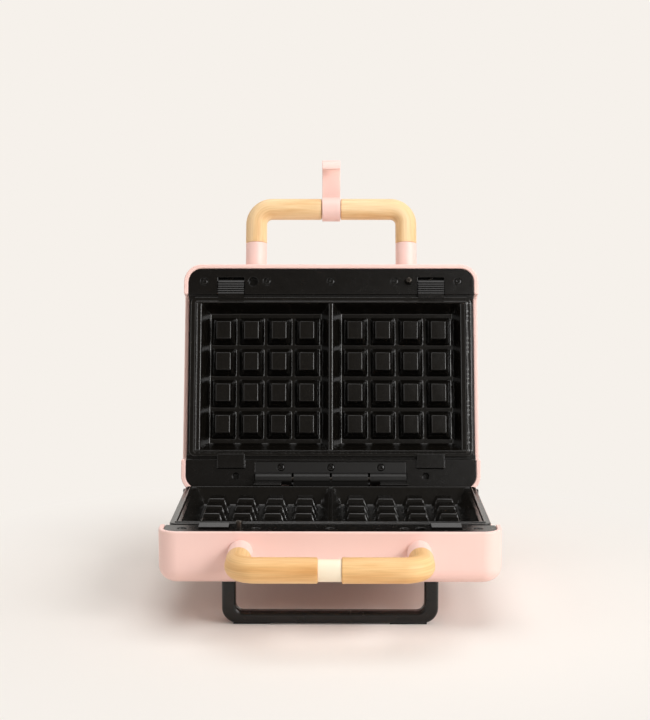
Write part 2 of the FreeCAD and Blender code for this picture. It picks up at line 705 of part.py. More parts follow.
def u_route(drawn, half_width, open_end, closed_end, radius):
    """Three straight runs joined by two equal arcs, open at one end."""
    a, e, c, r = (number(text) for text in (half_width, open_end, closed_end, radius))
    turn = 1 if c > e else -1
    first = line(drawn, (-a, e), (-a, c - turn * r))
    bar = line(drawn, (-a + r, c), (a - r, c))
    last = line(drawn, (a, c - turn * r), (a, e))
    axis = FreeCAD.Vector(0, 0, 1)
    left = Part.Circle(FreeCAD.Vector(-a + r, c - turn * r, 0), axis, r)
    right = Part.Circle(FreeCAD.Vector(a - r, c - turn * r, 0), axis, r)
    quarter = math.pi / 2
    if turn > 0:
        arcs = [drawn.addGeometry(Part.ArcOfCircle(left, quarter, 2 * quarter), False),
                drawn.addGeometry(Part.ArcOfCircle(right, 0, quarter), False)]
        ends = [(first, 2, arcs[0], 2), (arcs[0], 1, bar, 1), (bar, 2, arcs[1], 2), (arcs[1], 1, last, 1)]
    else:
        arcs = [drawn.addGeometry(Part.ArcOfCircle(left, 2 * quarter, 3 * quarter), False),
                drawn.addGeometry(Part.ArcOfCircle(right, 3 * quarter, 4 * quarter), False)]
        ends = [(first, 2, arcs[0], 1), (arcs[0], 2, bar, 1), (bar, 2, arcs[1], 1), (arcs[1], 2, last, 1)]
    for one, one_end, other, other_end in ends:
        drawn.addConstraint(Sketcher.Constraint("Tangent", one, one_end, other, other_end))
    drawn.addConstraint(Sketcher.Constraint("Equal", arcs[0], arcs[1]))
    drawn.addConstraint(Sketcher.Constraint("Vertical", first))
    drawn.addConstraint(Sketcher.Constraint("Horizontal", bar))
    fix(drawn, "DistanceX", first, 1, f"-({half_width})")
    fix(drawn, "DistanceY", first, 1, open_end)
    fix(drawn, "DistanceY", bar, 1, closed_end)
    fix(drawn, "DistanceX", last, 2, half_width)
    fix(drawn, "DistanceY", last, 2, open_end)
    hold_radius(drawn, arcs[0], radius)


def make_thermostat(half):
    """Disc thermostat with two blade terminals, clamped under the tray."""
    body = new_body(f"{half}_thermostat", PLACES[half])
    top = f"({REFLECTOR_FLOOR} + reflector_sheet)"
    can = new_sketch(body, offset=top)
    circles(can, [("0", PLATE_MIDDLE)], "thermostat_radius")
    pad(body, can, "thermostat_height / 2")
    blades = new_sketch(body, offset=top)
    reach = "(thermostat_radius * 1.7)"
    rectangle(blades, f"-{reach}", reach, f"{PLATE_MIDDLE} - thermostat_radius / 3",
              f"{PLATE_MIDDLE} + thermostat_radius / 3")
    pad(body, blades, "thermostat_height / 8")
    cap = new_sketch(body, offset=top)
    circles(cap, [("0", PLATE_MIDDLE)], "thermostat_radius * 0.8")
    pad(body, cap, "thermostat_height")
    return body


# Handles

def make_post(half, side, sign):
    body = new_body(f"{half}_handle_post_{side}", PLACES[half])
    spot = [(f"({sign}{POST_ACROSS})", HANDLE_LEVEL)]
    collar = new_sketch(body, "XZ_Plane", f"-{FRONT}")
    circles(collar, spot, "post_radius")
    pad(body, collar, "post_length")
    dowel = new_sketch(body, "XZ_Plane", f"-{POST_END}")
    circles(dowel, spot, "dowel_radius")
    pad(body, dowel, "dowel_length")
    bore = new_sketch(body, "XZ_Plane", f"-{FRONT}")
    circles(bore, spot, "handle_screw_radius + screw_clearance")
    pocket(body, bore, "handle_screw_length", reverse=True)
    return body


def make_grip(half, side, sign):
    """Wood grip: one round rod bent once, bored at both ends."""
    body = new_body(f"{half}_grip_{side}", PLACES[half])
    flip = -1 if sign else 1
    post = f"({sign}{POST_ACROSS})"
    end = f"({sign}groove_width / 2)"
    x_post, y_start, y_bar, x_end, r = (number(t) for t in (post, POST_END, HANDLE_BAR, end, "grip_bend"))
    route = new_sketch(body, offset=HANDLE_LEVEL)
    leg = line(route, (x_post, y_start), (x_post, y_bar + r))
    bar = line(route, (x_post - flip * r, y_bar), (x_end, y_bar))
    circle = Part.Circle(FreeCAD.Vector(x_post - flip * r, y_bar + r, 0), FreeCAD.Vector(0, 0, 1), r)
    quarter = math.pi / 2
    start = 3 * quarter if flip > 0 else 2 * quarter
    arc = route.addGeometry(Part.ArcOfCircle(circle, start, start + quarter), False)
    leg_joint, bar_joint = (2, 1) if flip > 0 else (1, 2)
    route.addConstraint(Sketcher.Constraint("Tangent", leg, 2, arc, leg_joint))
    route.addConstraint(Sketcher.Constraint("Tangent", arc, bar_joint, bar, 1))
    route.addConstraint(Sketcher.Constraint("Vertical", leg))
    route.addConstraint(Sketcher.Constraint("Horizontal", bar))
    fix(route, "DistanceX", leg, 1, post)
    fix(route, "DistanceY", leg, 1, POST_END)
    fix(route, "DistanceX", bar, 2, end)
    fix(route, "DistanceY", bar, 2, HANDLE_BAR)
    hold_radius(route, arc, "grip_bend")
    section = new_sketch(body, "XZ_Plane", f"-{POST_END}")
    circles(section, [(post, HANDLE_LEVEL)], "grip_radius")
    rod = body.newObject("PartDesign::AdditivePipe", "AdditivePipe")
    rod.Profile = section
    rod.Spine = route
    doc.recompute()
    hole = new_sketch(body, "XZ_Plane", f"-{POST_END}")
    circles(hole, [(post, HANDLE_LEVEL)], "dowel_radius + screw_clearance")
    pocket(body, hole, "dowel_length + fit_gap", reverse=True)
    socket = new_sketch(body, "YZ_Plane", end)
    circles(socket, [(HANDLE_BAR, HANDLE_LEVEL)], "dowel_radius + screw_clearance")
    pocket(body, socket, "dowel_length + fit_gap", reverse=not sign)
    return body


def make_core(half):
    """Cream middle of the handle with a tenon at each end."""
    body = new_body(f"{half}_handle_core", PLACES[half])
    spot = [(HANDLE_BAR, HANDLE_LEVEL)]
    drum = new_sketch(body, "YZ_Plane")
    circles(drum, spot, "core_radius")
    pad(body, drum, "groove_width", both=True)
    tenons = new_sketch(body, "YZ_Plane")
    circles(tenons, spot, "dowel_radius")
    pad(body, tenons, "groove_width + 2 * dowel_length", both=True)
    return body


# Locking clip on the lid's handle


def make_clip():
    """Strap with a ring on the lid's bar and a hook that takes the base's bar when the halves are closed."""
    body = new_body("locking_clip", PLACES["lid"])
    ring = new_sketch(body, "YZ_Plane")
    circles(ring, [(HANDLE_BAR, HANDLE_LEVEL)], "core_radius + clip_gap + clip_thickness")
    pad(body, ring, "clip_width", both=True)
    arm = new_sketch(body, "YZ_Plane")
    low = f"({HANDLE_LEVEL} + core_radius + clip_hook_gap)"
    rectangle(arm, f"{HANDLE_BAR} - {CLIP_SPAN}", HANDLE_BAR, low, f"{low} + clip_thickness")
    pad(body, arm, "clip_width", both=True)
    hook = new_sketch(body, "YZ_Plane")
    middle = FreeCAD.Vector(number(f"{HANDLE_BAR} - {CLIP_SPAN}"), number(HANDLE_LEVEL), 0)
    inner = "core_radius + clip_hook_gap"
    outer = "core_radius + clip_hook_gap + clip_thickness"
    lip = math.pi + math.radians(number("clip_lip_angle"))
    axis = FreeCAD.Vector(0, 0, 1)
    arcs = []
    for size in (inner, outer):
        circle = Part.Circle(middle, axis, number(size))
        arcs.append(hook.addGeometry(Part.ArcOfCircle(circle, math.pi / 2, lip), False))
    points = [(number(size), arc) for size, arc in zip((inner, outer), arcs)]
    ends = []
    for angle in (math.pi / 2, lip):
        spots = [(middle.x + size * math.cos(angle), middle.y + size * math.sin(angle)) for size, arc in points]
        ends.append(line(hook, spots[0], spots[1]))
    for k, item in enumerate(ends):
        hook.addConstraint(Sketcher.Constraint("Coincident", item, 1, arcs[0], k + 1))
        hook.addConstraint(Sketcher.Constraint("Coincident", item, 2, arcs[1], k + 1))
    hook.addConstraint(Sketcher.Constraint("Coincident", arcs[0], 3, arcs[1], 3))
    fix(hook, "DistanceX", arcs[0], 3, f"{HANDLE_BAR} - {CLIP_SPAN}")
    fix(hook, "DistanceY", arcs[0], 3, HANDLE_LEVEL)
    hold_radius(hook, arcs[0], inner)
    hold_radius(hook, arcs[1], outer)
    hook.addConstraint(Sketcher.Constraint("Vertical", ends[0]))
    tilt = hook.addConstraint(Sketcher.Constraint("Angle", ends[1], -(math.pi - lip) + math.pi))
    hook.renameConstraint(tilt, "lip")
    pad(body, hook, "clip_width", both=True)
    bore = new_sketch(body, "YZ_Plane")
    circles(bore, [(HANDLE_BAR, HANDLE_LEVEL)], "core_radius + clip_gap")
    pocket(body, bore, "clip_width * 2", both=True)
    return body


# Hinge

HINGE_HALF = "(2 * knuckle_length + 1.5 * knuckle_gap)"
KNUCKLE_INNER = "(knuckle_gap / 2)"
KNUCKLE_STEP = "(knuckle_gap / 2 + knuckle_length)"


def knuckle(body, start, sign):
    ring = new_sketch(body, "YZ_Plane", f"{sign}{start}")
    circles(ring, [("0", "0")], "knuckle_radius")
    pad(body, ring, "knuckle_length", reverse=bool(sign))


def pin_bore(body):
    bore = new_sketch(body, "YZ_Plane")
    circles(bore, [("0", "0")], "hinge_pin_radius + hinge_clearance")
    pocket(body, bore, f"3 * {HINGE_HALF}", both=True)


def make_lid_bracket():
    """Leaf let into the lid's strip, carrying the two outer knuckles."""
    body = new_body("lid_hinge_bracket", PLACES["lid"])
    leaf = new_sketch(body, offset=STRIP_TOP)
    rectangle(leaf, f"-{HINGE_HALF}", HINGE_HALF, "-hinge_leaf_length", "0")
    pad(body, leaf, "hinge_leaf")
    for sign in ("", "-"):
        knuckle(body, f"({KNUCKLE_STEP} + knuckle_gap)", sign)
    room = new_sketch(body, "YZ_Plane")
    circles(room, [("0", "0")], "knuckle_radius + running_gap")
    pocket(body, room, f"2 * ({KNUCKLE_STEP} + knuckle_gap)", both=True)
    pin_bore(body)
    heads = new_sketch(body, offset=STRIP_TOP)
    front, rear = screw_spots("lid")
    circles(heads, rear, "screw_head_radius + fit_gap")
    pocket(body, heads, "hinge_leaf * 3", both=True)
    return body


def make_base_bracket():
    """Foot on the base's low strip with a web up to the two inner knuckles."""
    body = new_body("base_hinge_bracket", PLACES["base"])
    top = rear_strip_top("base")
    web_front = "(-hinge_web_offset - hinge_web)"
    span = "(base_rear_screw + 2 * screw_head_radius)"
    foot = new_sketch(body, offset=top)
    rectangle(foot, f"-{span}", span, "-hinge_leaf_length", "-hinge_web_offset")
    pad(body, foot, "hinge_leaf", reverse=True)
    web = new_sketch(body, "YZ_Plane")
    rectangle(web, web_front, "-hinge_web_offset", "0", top)
    pad(body, web, f"2 * {KNUCKLE_STEP}", both=True)
    for sign in ("", "-"):
        knuckle(body, KNUCKLE_INNER, sign)
    pin_bore(body)
    heads = new_sketch(body, offset=top)
    front, rear = screw_spots("base")
    circles(heads, rear, "screw_head_radius + fit_gap")
    pocket(body, heads, "hinge_leaf * 3", both=True)
    return body


def make_hinge_pin():
    body = new_body("hinge_pin", PLACES["base"])
    rod = new_sketch(body, "YZ_Plane")
    circles(rod, [("0", "0")], "hinge_pin_radius")
    pad(body, rod, f"2 * {HINGE_HALF}", both=True)
    return body


# Fasteners

def make_frame_screws(half):
    """Countersunk in the frame, turned into the housing's bosses."""
    body = doc.addObject("Part::Feature", f"{half}_frame_screws")
    front, rear = screw_spots(half)
    solids = []
    head_radius = number("screw_head_radius")
    shank_radius = number("screw_shank_radius")
    head = number("screw_head_height")
    for spots, top in ((front, STRIP_TOP), (rear, rear_strip_top(half))):
        start = number(f"{top} + fit_gap")
        end = number(f"{FRAME_BOTTOM} + boss_depth - fit_gap")
        for across, along in spots:
            spot = FreeCAD.Vector(number(across), number(along), start)
            cap = Part.makeCylinder(head_radius, head, spot)
            solids.append(cap.fuse(Part.makeCylinder(shank_radius, end - start, spot)).removeSplitter())
    body.Shape = Part.makeCompound([solid.Solids[0] for solid in solids])
    body.Placement = PLACES[half]
    made_nodes.append(body)
    return body


def make_handle_screws(half):
    body = doc.addObject("Part::Feature", f"{half}_handle_screws")
    solids = []
    head = number("screw_head_height * 1.5")
    start = number(f"{FRONT} + wall")
    out = FreeCAD.Vector(0, -1, 0)
    for across, along in mirrored([(POST_ACROSS, HANDLE_LEVEL)]):
        seat = FreeCAD.Vector(number(across), start + head, number(along))
        cap = Part.makeCylinder(number("handle_screw_radius * 2"), head, seat, out)
        length = head + number("wall + handle_screw_length - fit_gap * 2")
        shank = Part.makeCylinder(number("handle_screw_radius"), length, seat, out)
        solids.append(cap.fuse(shank).removeSplitter().Solids[0])
    body.Shape = Part.makeCompound(solids)
    body.Placement = PLACES[half]
    made_nodes.append(body)
    return body


def make_locating_pin(half):
    body = new_body(f"{half}_locating_pin", PLACES[half])
    rod = new_sketch(body, offset=f"{STRIP_TOP} + pin_height")
    circles(rod, [(PIN_ACROSS, SCREW_ROW)], "pin_radius")
    pad(body, rod, "2 * pin_height", reverse=True)
    fillet(body, "pin_radius * 0.6", at_level(f"{STRIP_TOP} - pin_height"))
    return body


# Legs

LEG_ROWS = {"front": f"({FRONT} + leg_inset)", "rear": f"({REAR} - leg_inset)"}


def leg_screw_spots():
    return [spot for row in LEG_ROWS.values() for spot in mirrored([("(leg_spread / 2 - leg_post / 2)", row)])]


def make_leg(end):
    """Loop leg: two posts and a bar in one rounded outline."""
    body = new_body(f"{end}_leg", PLACES["base"])
    row = LEG_ROWS[end]
    outline = new_sketch(body, "XZ_Plane", f"-{row}")
    bottom = f"({OUTSIDE} + leg_height - (pad_thickness - pad_sink))"
    outer = "(leg_spread / 2)"
    rounded_rectangle(outline, f"-{outer}", outer, f"{OUTSIDE} - leg_height", bottom, "leg_corner")
    pad(body, outline, "leg_thickness", both=True)
    gap = new_sketch(body, "XZ_Plane", f"-{row}")
    inner = f"({outer} - leg_post)"
    rounded_rectangle(gap, f"-{inner}", inner, f"{OUTSIDE} - 2 * leg_height", f"{bottom} - leg_bar",
                      "leg_corner / 2")
    pocket(body, gap, "leg_thickness * 2", both=True)
    above = new_sketch(body, offset=f"{OUTSIDE} - leg_height")
    rectangle(above, f"-{outer} - wall", f"{outer} + wall", f"{row} - leg_thickness", f"{row} + leg_thickness")
    pocket(body, above, "leg_height", reverse=True)
    near, far = number(f"{row} - leg_thickness / 2"), number(f"{row} + leg_thickness / 2")

    def outer_edge(edge):
        box = edge.BoundBox
        flat = box.YLength < 1e-4 and min(abs(box.YMin - near), abs(box.YMin - far)) < 1e-4
        return flat and box.ZMax > number(OUTSIDE) + 1e-3

    fillet(body, "leg_edge", outer_edge)
    holes = new_sketch(body, offset=OUTSIDE)
    circles(holes, mirrored([("(leg_spread / 2 - leg_post / 2)", row)]), "screw_shank_radius + screw_clearance")
    pocket(body, holes, "leg_height / 2", reverse=True)
    pads = new_sketch(body, offset=bottom)
    for sign in ("", "-"):
        middle = f"({sign}pad_spacing / 2)"
        rectangle(pads, f"{middle} - pad_length / 2 - screw_clearance", f"{middle} + pad_length / 2 + screw_clearance",
                  f"{row} - pad_width / 2 - screw_clearance", f"{row} + pad_width / 2 + screw_clearance")
    pocket(body, pads, "pad_sink")
    return body


def make_foot_pads():
    node = doc.addObject("Part::Feature", "foot_pads")
    solids = []
    length, width, thickness = (number(text) for text in ("pad_length", "pad_width", "pad_thickness"))
    start = number(f"{OUTSIDE} + leg_height - pad_thickness")
    for row in LEG_ROWS.values():
        for across, along in mirrored([("pad_spacing / 2", row)]):
            corner = FreeCAD.Vector(number(across) - length / 2, number(along) - width / 2, start)
            solids.append(Part.makeBox(length, width, thickness, corner))
    node.Shape = Part.makeCompound(solids)
    node.Placement = PLACES["base"]
    made_nodes.append(node)


def make_leg_screws():
    node = doc.addObject("Part::Feature", "leg_screws")
    solids = []
    head = number("screw_head_height")
    for across, along in leg_screw_spots():
        seat = FreeCAD.Vector(number(across), number(along), number(INSIDE) - head)
        cap = Part.makeCylinder(number("screw_head_radius"), head, seat)
        length = head + number("floor_wall + leg_height / 2 - fit_gap")
        solids.append(cap.fuse(Part.makeCylinder(number("screw_shank_radius"), length, seat)).removeSplitter().Solids[0])
    node.Shape = Part.makeCompound(solids)
    node.Placement = PLACES["base"]
    made_nodes.append(node)


# Mains inlet, terminals and lamps

GLAND_LEVEL = f"({FRAME_BOTTOM} + gland_radius + 3 * fit_gap)"


def make_gland():
    """Bush in the rear wall with a flange outside."""
    body = new_body("cord_gland", PLACES["base"])
    spot = [("gland_offset", GLAND_LEVEL)]
    flange = new_sketch(body, "XZ_Plane", f"-{REAR}")
    circles(flange, spot, "gland_flange")
    pad(body, flange, "gland_proud", reverse=True)
    barrel = new_sketch(body, "XZ_Plane", f"-{REAR}")
    circles(barrel, spot, "gland_radius")
    pad(body, barrel, "wall * 2")
    bore = new_sketch(body, "XZ_Plane", f"-{REAR}")
    circles(bore, spot, "gland_bore")
    pocket(body, bore, "wall * 8", both=True)
    return body


def make_terminal_block():
    """Two-way block on the housing's floor behind the tray."""
    body = new_body("terminal_block", PLACES["base"])
    middle = f"({PLATE_REAR} + terminal_width / 2)"
    block = new_sketch(body, offset=INSIDE)
    rectangle(block, "-terminal_length - terminal_offset", "-terminal_offset",
              f"{middle} - terminal_width / 2", f"{middle} + terminal_width / 2")
    pad(body, block, "terminal_height", reverse=True)
    ways = new_sketch(body, "XZ_Plane", f"-{middle}")
    level = f"({INSIDE} - terminal_height / 2)"
    for share in ("0.25", "0.75"):
        circles(ways, [(f"(-terminal_offset - terminal_length * {share})", level)], "terminal_height / 5")
    pocket(body, ways, "terminal_width * 2", both=True)
    return body


def lens_spots():
    return mirrored([("lens_spacing / 2", f"({FRONT} + lens_row)")])


def make_lenses():
    node = doc.addObject("Part::Feature", "indicator_lenses")
    radius = number("lens_radius")
    solids = []
    top = number(f"{OUTSIDE} + lens_proud")
    start = number(f"{INSIDE} - lens_proud")
    for across, along in lens_spots():
        foot = FreeCAD.Vector(number(across), number(along), start)
        rod = Part.makeCylinder(radius, top - start, foot)
        lip = Part.makeCylinder(radius * 1.5, number("lens_proud"), foot)
        rim = [edge for edge in rod.Edges if abs(edge.BoundBox.ZMin - top) < 1e-6]
        rod = rod.makeChamfer(number("lens_proud") * 0.6, rim)
        solids.append(rod.fuse(lip).removeSplitter().Solids[0])
    node.Shape = Part.makeCompound(solids)
    node.Placement = PLACES["lid"]
    made_nodes.append(node)


def make_lamp_board():
    body = new_body("lamp_board", PLACES["lid"])
    face = f"({INSIDE} - lens_proud)"
    board = new_sketch(body, offset=face)
    reach = "(lens_spacing / 2 + 3 * lens_radius)"
    row = f"({FRONT} + lens_row)"
    rectangle(board, f"-{reach}", reach, f"{row} - 2 * lens_radius", f"{row} + 2 * lens_radius")
    pad(body, board, "lamp_board_thickness", reverse=True)
    return body


def build():
    for half in ("base", "lid"):
        shell = make_shell(half)
        if half == "base":
            finish_base_shell(shell)
        else:
            finish_lid_shell(shell)
        make_frame(half)
        make_plate(half)
        make_reflector(half)
        make_heater(half)
        make_thermostat(half)
        for side, sign in (("left", "-"), ("right", "")):
            if half == "base":
                sign = "" if sign else "-"
            make_latch(half, side, sign)
            make_spring(half, side, sign)
            make_post(half, side, sign)
            make_grip(half, side, sign)
        make_core(half)
        make_locating_pin(half)
        make_frame_screws(half)
        make_handle_screws(half)
    make_clip()
    make_lid_bracket()
    make_base_bracket()
    make_hinge_pin()
    for end in LEG_ROWS:
        make_leg(end)
    make_foot_pads()
    make_leg_screws()
    make_gland()
    make_terminal_block()
    make_lenses()
    make_lamp_board()


build()
doc.recompute()
failed = [item.Label for item in doc.Objects if "Invalid" in item.State or "Error" in item.State]
if failed:
    raise RuntimeError(f"failed to build: {failed}")
for node in made_nodes:
    if node.Shape.isNull() or not node.Shape.isValid():
        raise RuntimeError(f"{node.Label} has no valid shape")
os.makedirs("parts", exist_ok=True)
for node in made_nodes:
    node.Shape.exportStep(f"parts/{node.Label}.step")
    print(node.Label, len(node.Shape.Solids), round(node.Shape.Volume / 1000, 2))
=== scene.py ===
"""Looks of the waffle maker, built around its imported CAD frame."""
import json
import math

import bmesh
import bpy
from mathutils import Euler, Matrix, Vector


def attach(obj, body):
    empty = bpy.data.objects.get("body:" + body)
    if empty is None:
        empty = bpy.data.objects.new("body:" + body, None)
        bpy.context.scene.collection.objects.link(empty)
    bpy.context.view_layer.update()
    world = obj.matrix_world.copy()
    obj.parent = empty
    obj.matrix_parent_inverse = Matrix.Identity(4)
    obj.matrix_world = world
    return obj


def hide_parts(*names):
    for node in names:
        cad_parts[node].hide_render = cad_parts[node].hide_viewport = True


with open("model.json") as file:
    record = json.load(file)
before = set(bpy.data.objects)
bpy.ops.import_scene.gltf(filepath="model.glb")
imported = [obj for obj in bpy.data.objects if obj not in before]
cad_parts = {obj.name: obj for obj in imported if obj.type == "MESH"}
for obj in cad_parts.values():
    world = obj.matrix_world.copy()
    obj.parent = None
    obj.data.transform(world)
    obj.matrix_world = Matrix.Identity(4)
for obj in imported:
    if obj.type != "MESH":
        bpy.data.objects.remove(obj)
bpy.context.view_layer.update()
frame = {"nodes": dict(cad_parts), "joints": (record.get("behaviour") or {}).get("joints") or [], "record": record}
nodes = frame["nodes"]

MM = 0.001
HALVES = ("base", "lid")
SIDES = ("left", "right")
LID_HINGE = next(joint for joint in frame["joints"] if joint["name"] == "lid_hinge")
HINGE = Vector(LID_HINGE["pos_m"])
OPEN_ANGLE = math.radians(LID_HINGE["range_deg"][1])
WELD = 0.002 * MM
THIN_EDGE = 0.001 * MM
FLAT_TURN = math.radians(0.6)
SHARP_TURN = math.radians(50.0)


def linear(red, green, blue):
    """Scene colour of a colour given in display values of 0 to 255."""
    def channel(value):
        share = value / 255.0
        if share <= 0.04045:
            return share / 12.92
        return ((share + 0.055) / 1.055) ** 2.4
    return (channel(red), channel(green), channel(blue), 1.0)


# Materials

DARK_STOP = 0.3
LIGHT_STOP = 0.7


class Look:
    """A node material with one Principled shader and short ways to add to it."""

    def __init__(self, name, colour, roughness, **sockets):
        self.material = bpy.data.materials.new(name)
        self.material.use_nodes = True
        self.tree = self.material.node_tree
        self.shader = self.tree.nodes["Principled BSDF"]
        self.set("Base Color", colour)
        self.set("Roughness", roughness)
        for socket, value in sockets.items():
            self.set(socket.replace("_", " "), value)

    def set(self, socket, value):
        self.shader.inputs[socket].default_value = value

    def node(self, kind, **settings):
        made = self.tree.nodes.new(kind)
        for key, value in settings.items():
            if key in made.inputs:
                made.inputs[key].default_value = value
            else:
                setattr(made, key, value)
        return made

    def link(self, source, target):
        self.tree.links.new(source, target)

    def place(self, attribute=None):
        """Coordinates of the piece, or a named attribute of its points."""
        if attribute:
            return self.node("ShaderNodeAttribute", attribute_name=attribute).outputs["Vector"]
        return self.node("ShaderNodeTexCoord").outputs["Object"]

    def noise(self, scale, detail, stretch=(1, 1, 1), attribute=None, roughness=0.5):
        """Cloudy values of 0 to 1, finer with a larger scale."""
        mapping = self.node("ShaderNodeMapping")
        mapping.inputs["Scale"].default_value = stretch
        self.link(self.place(attribute), mapping.inputs["Vector"])
        cloud = self.node("ShaderNodeTexNoise", Scale=scale, Detail=detail, Roughness=roughness)
        self.link(mapping.outputs["Vector"], cloud.inputs["Vector"])
        return cloud.outputs["Fac"]

    def ramp(self, factor, stops):
        """Colours for values of 0 to 1, given as stops of a position and a colour."""
        ramp = self.node("ShaderNodeValToRGB")
        band = ramp.color_ramp
        while len(band.elements) < len(stops):
            band.elements.new(0.5)
        for element, (position, colour) in zip(band.elements, stops):
            element.position = position
            element.color = colour
        self.link(factor, ramp.inputs["Fac"])
        return ramp.outputs["Color"]

    def vary(self, factor, dark, light):
        """Let the base colour drift between a darker and a lighter one."""
        colour = self.ramp(factor, [(DARK_STOP, dark), (LIGHT_STOP, light)])
        self.link(colour, self.shader.inputs["Base Color"])

    def rough(self, factor, low, high):
        """Let the roughness drift between two values."""
        spread = self.node("ShaderNodeMapRange")
        spread.inputs["To Min"].default_value = low
        spread.inputs["To Max"].default_value = high
        self.link(factor, spread.inputs["Value"])
        self.link(spread.outputs["Result"], self.shader.inputs["Roughness"])

    def bump(self, height, strength, distance):
        """Let the surface seem to rise and fall by a distance in metres."""
        bump = self.node("ShaderNodeBump", Strength=strength, Distance=distance)
        self.link(height, bump.inputs["Height"])
        self.link(bump.outputs["Normal"], self.shader.inputs["Normal"])


def pink_look():
    look = Look("pink_satin", linear(250, 212, 203), 0.42, Specular_IOR_Level=0.45, Coat_Weight=0.12,
                Coat_Roughness=0.35)
    look.vary(look.noise(scale=35.0, detail=2.0), linear(249, 211, 202), linear(250, 213, 204))
    look.rough(look.noise(scale=60.0, detail=3.0), low=0.38, high=0.46)
    look.bump(look.noise(scale=1400.0, detail=2.0), strength=0.12, distance=0.06 * MM)
    return look.material


def black_plastic_look():
    look = Look("black_moulded", linear(11, 9, 7), 0.26, Specular_IOR_Level=0.4)
    look.vary(look.noise(scale=90.0, detail=3.0), linear(9, 7, 5), linear(13, 11, 9))
    look.rough(look.noise(scale=240.0, detail=3.0), low=0.22, high=0.3)
    look.bump(look.noise(scale=2600.0, detail=2.0), strength=0.22, distance=0.08 * MM)
    return look.material


def nonstick_look():
    look = Look("nonstick_coat", linear(12, 10, 8), 0.2, Specular_IOR_Level=0.55)
    look.vary(look.noise(scale=420.0, detail=4.0), linear(9, 7, 5), linear(15, 13, 10))
    look.rough(look.noise(scale=160.0, detail=4.0), low=0.16, high=0.24)
    look.bump(look.noise(scale=1800.0, detail=3.0), strength=0.18, distance=0.08 * MM)
    return look.material


FLECK_SHARE = 0.8
FLECK_TINT = (0.86, 0.82, 0.76, 1.0)
NO_TINT = (1.0, 1.0, 1.0, 1.0)
# Painted light: a paler copy of the wood for the grips of the lid's handle, where the light falls brighter
PAINTED_LIGHT_TINT = (1.08, 1.24, 1.56, 1.0)


def wood_look():
    """Wood with growth rings and fibres along the grain, plus painted light: paler where the point attribute for
    it is 1, on grips that stand in brighter light.
    """
    look = Look("pale_wood", linear(240, 196, 138), 0.46, Specular_IOR_Level=0.4)
    rings = look.noise(scale=95.0, detail=5.0, stretch=(0.09, 1.0, 1.0), attribute="grain", roughness=0.6)
    colour = look.ramp(rings, [(0.3, linear(222, 166, 102)), (0.45, linear(236, 188, 127)),
                               (0.6, linear(243, 201, 144)), (0.75, linear(231, 180, 117))])
    fibres = look.noise(scale=1300.0, detail=3.0, stretch=(0.03, 1.0, 1.0), attribute="grain")
    flecks = look.ramp(fibres, [(0.35, FLECK_TINT), (0.6, NO_TINT)])
    mixed = look.node("ShaderNodeMix", data_type="RGBA", blend_type="MULTIPLY")
    mixed.inputs["Factor"].default_value = FLECK_SHARE
    look.link(colour, mixed.inputs["A"])
    look.link(flecks, mixed.inputs["B"])
    # Painted light: mix in the paler copy where the point attribute says so
    painted_lighter = look.node("ShaderNodeMix", data_type="RGBA", blend_type="MULTIPLY")
    painted_light = look.node("ShaderNodeAttribute", attribute_name="painted_light")
    look.link(painted_light.outputs["Fac"], painted_lighter.inputs["Factor"])
    look.link(mixed.outputs["Result"], painted_lighter.inputs["A"])
    painted_lighter.inputs["B"].default_value = PAINTED_LIGHT_TINT
    look.link(painted_lighter.outputs["Result"], look.shader.inputs["Base Color"])
    look.rough(fibres, low=0.4, high=0.54)
    look.bump(fibres, strength=0.12, distance=0.1 * MM)
    return look.material


def cream_look():
    look = Look("cream_plastic", linear(248, 232, 206), 0.45, Specular_IOR_Level=0.45)
    look.vary(look.noise(scale=60.0, detail=2.0), linear(246, 229, 202), linear(250, 236, 211))
    look.bump(look.noise(scale=1600.0, detail=2.0), strength=0.1, distance=0.06 * MM)
    return look.material


def metal_look(name, colour, roughness):
    look = Look(name, colour, roughness, Metallic=1.0)
    look.rough(look.noise(scale=500.0, detail=3.0), low=roughness * 0.8, high=roughness * 1.25)
    look.bump(look.noise(scale=1500.0, detail=2.0), strength=0.1, distance=0.05 * MM)
    return look.material


def black_metal_look(name, low_rough, high_rough):
    look = Look(name, linear(12, 10, 8), high_rough, Specular_IOR_Level=0.4)
    look.rough(look.noise(scale=300.0, detail=3.0), low=low_rough, high=high_rough)
    look.bump(look.noise(scale=1500.0, detail=2.0), strength=0.14, distance=0.06 * MM)
    return look.material


def rubber_look():
    look = Look("black_rubber", linear(25, 24, 23), 0.72, Specular_IOR_Level=0.3)
    look.rough(look.noise(scale=400.0, detail=3.0), low=0.65, high=0.8)
    look.bump(look.noise(scale=1800.0, detail=2.0), strength=0.2, distance=0.08 * MM)
    return look.material


def lens_look():
    look = Look("amber_lens", linear(222, 96, 58), 0.18, Specular_IOR_Level=0.5, Coat_Weight=0.4)
    look.vary(look.noise(scale=300.0, detail=2.0), linear(212, 84, 48), linear(232, 108, 70))
    return look.material


def plain_look(name, colour, roughness):
    look = Look(name, colour, roughness)
    look.rough(look.noise(scale=200.0, detail=2.0), low=roughness * 0.9, high=roughness * 1.1)
    look.bump(look.noise(scale=1500.0, detail=2.0), strength=0.08, distance=0.05 * MM)
    return look.material


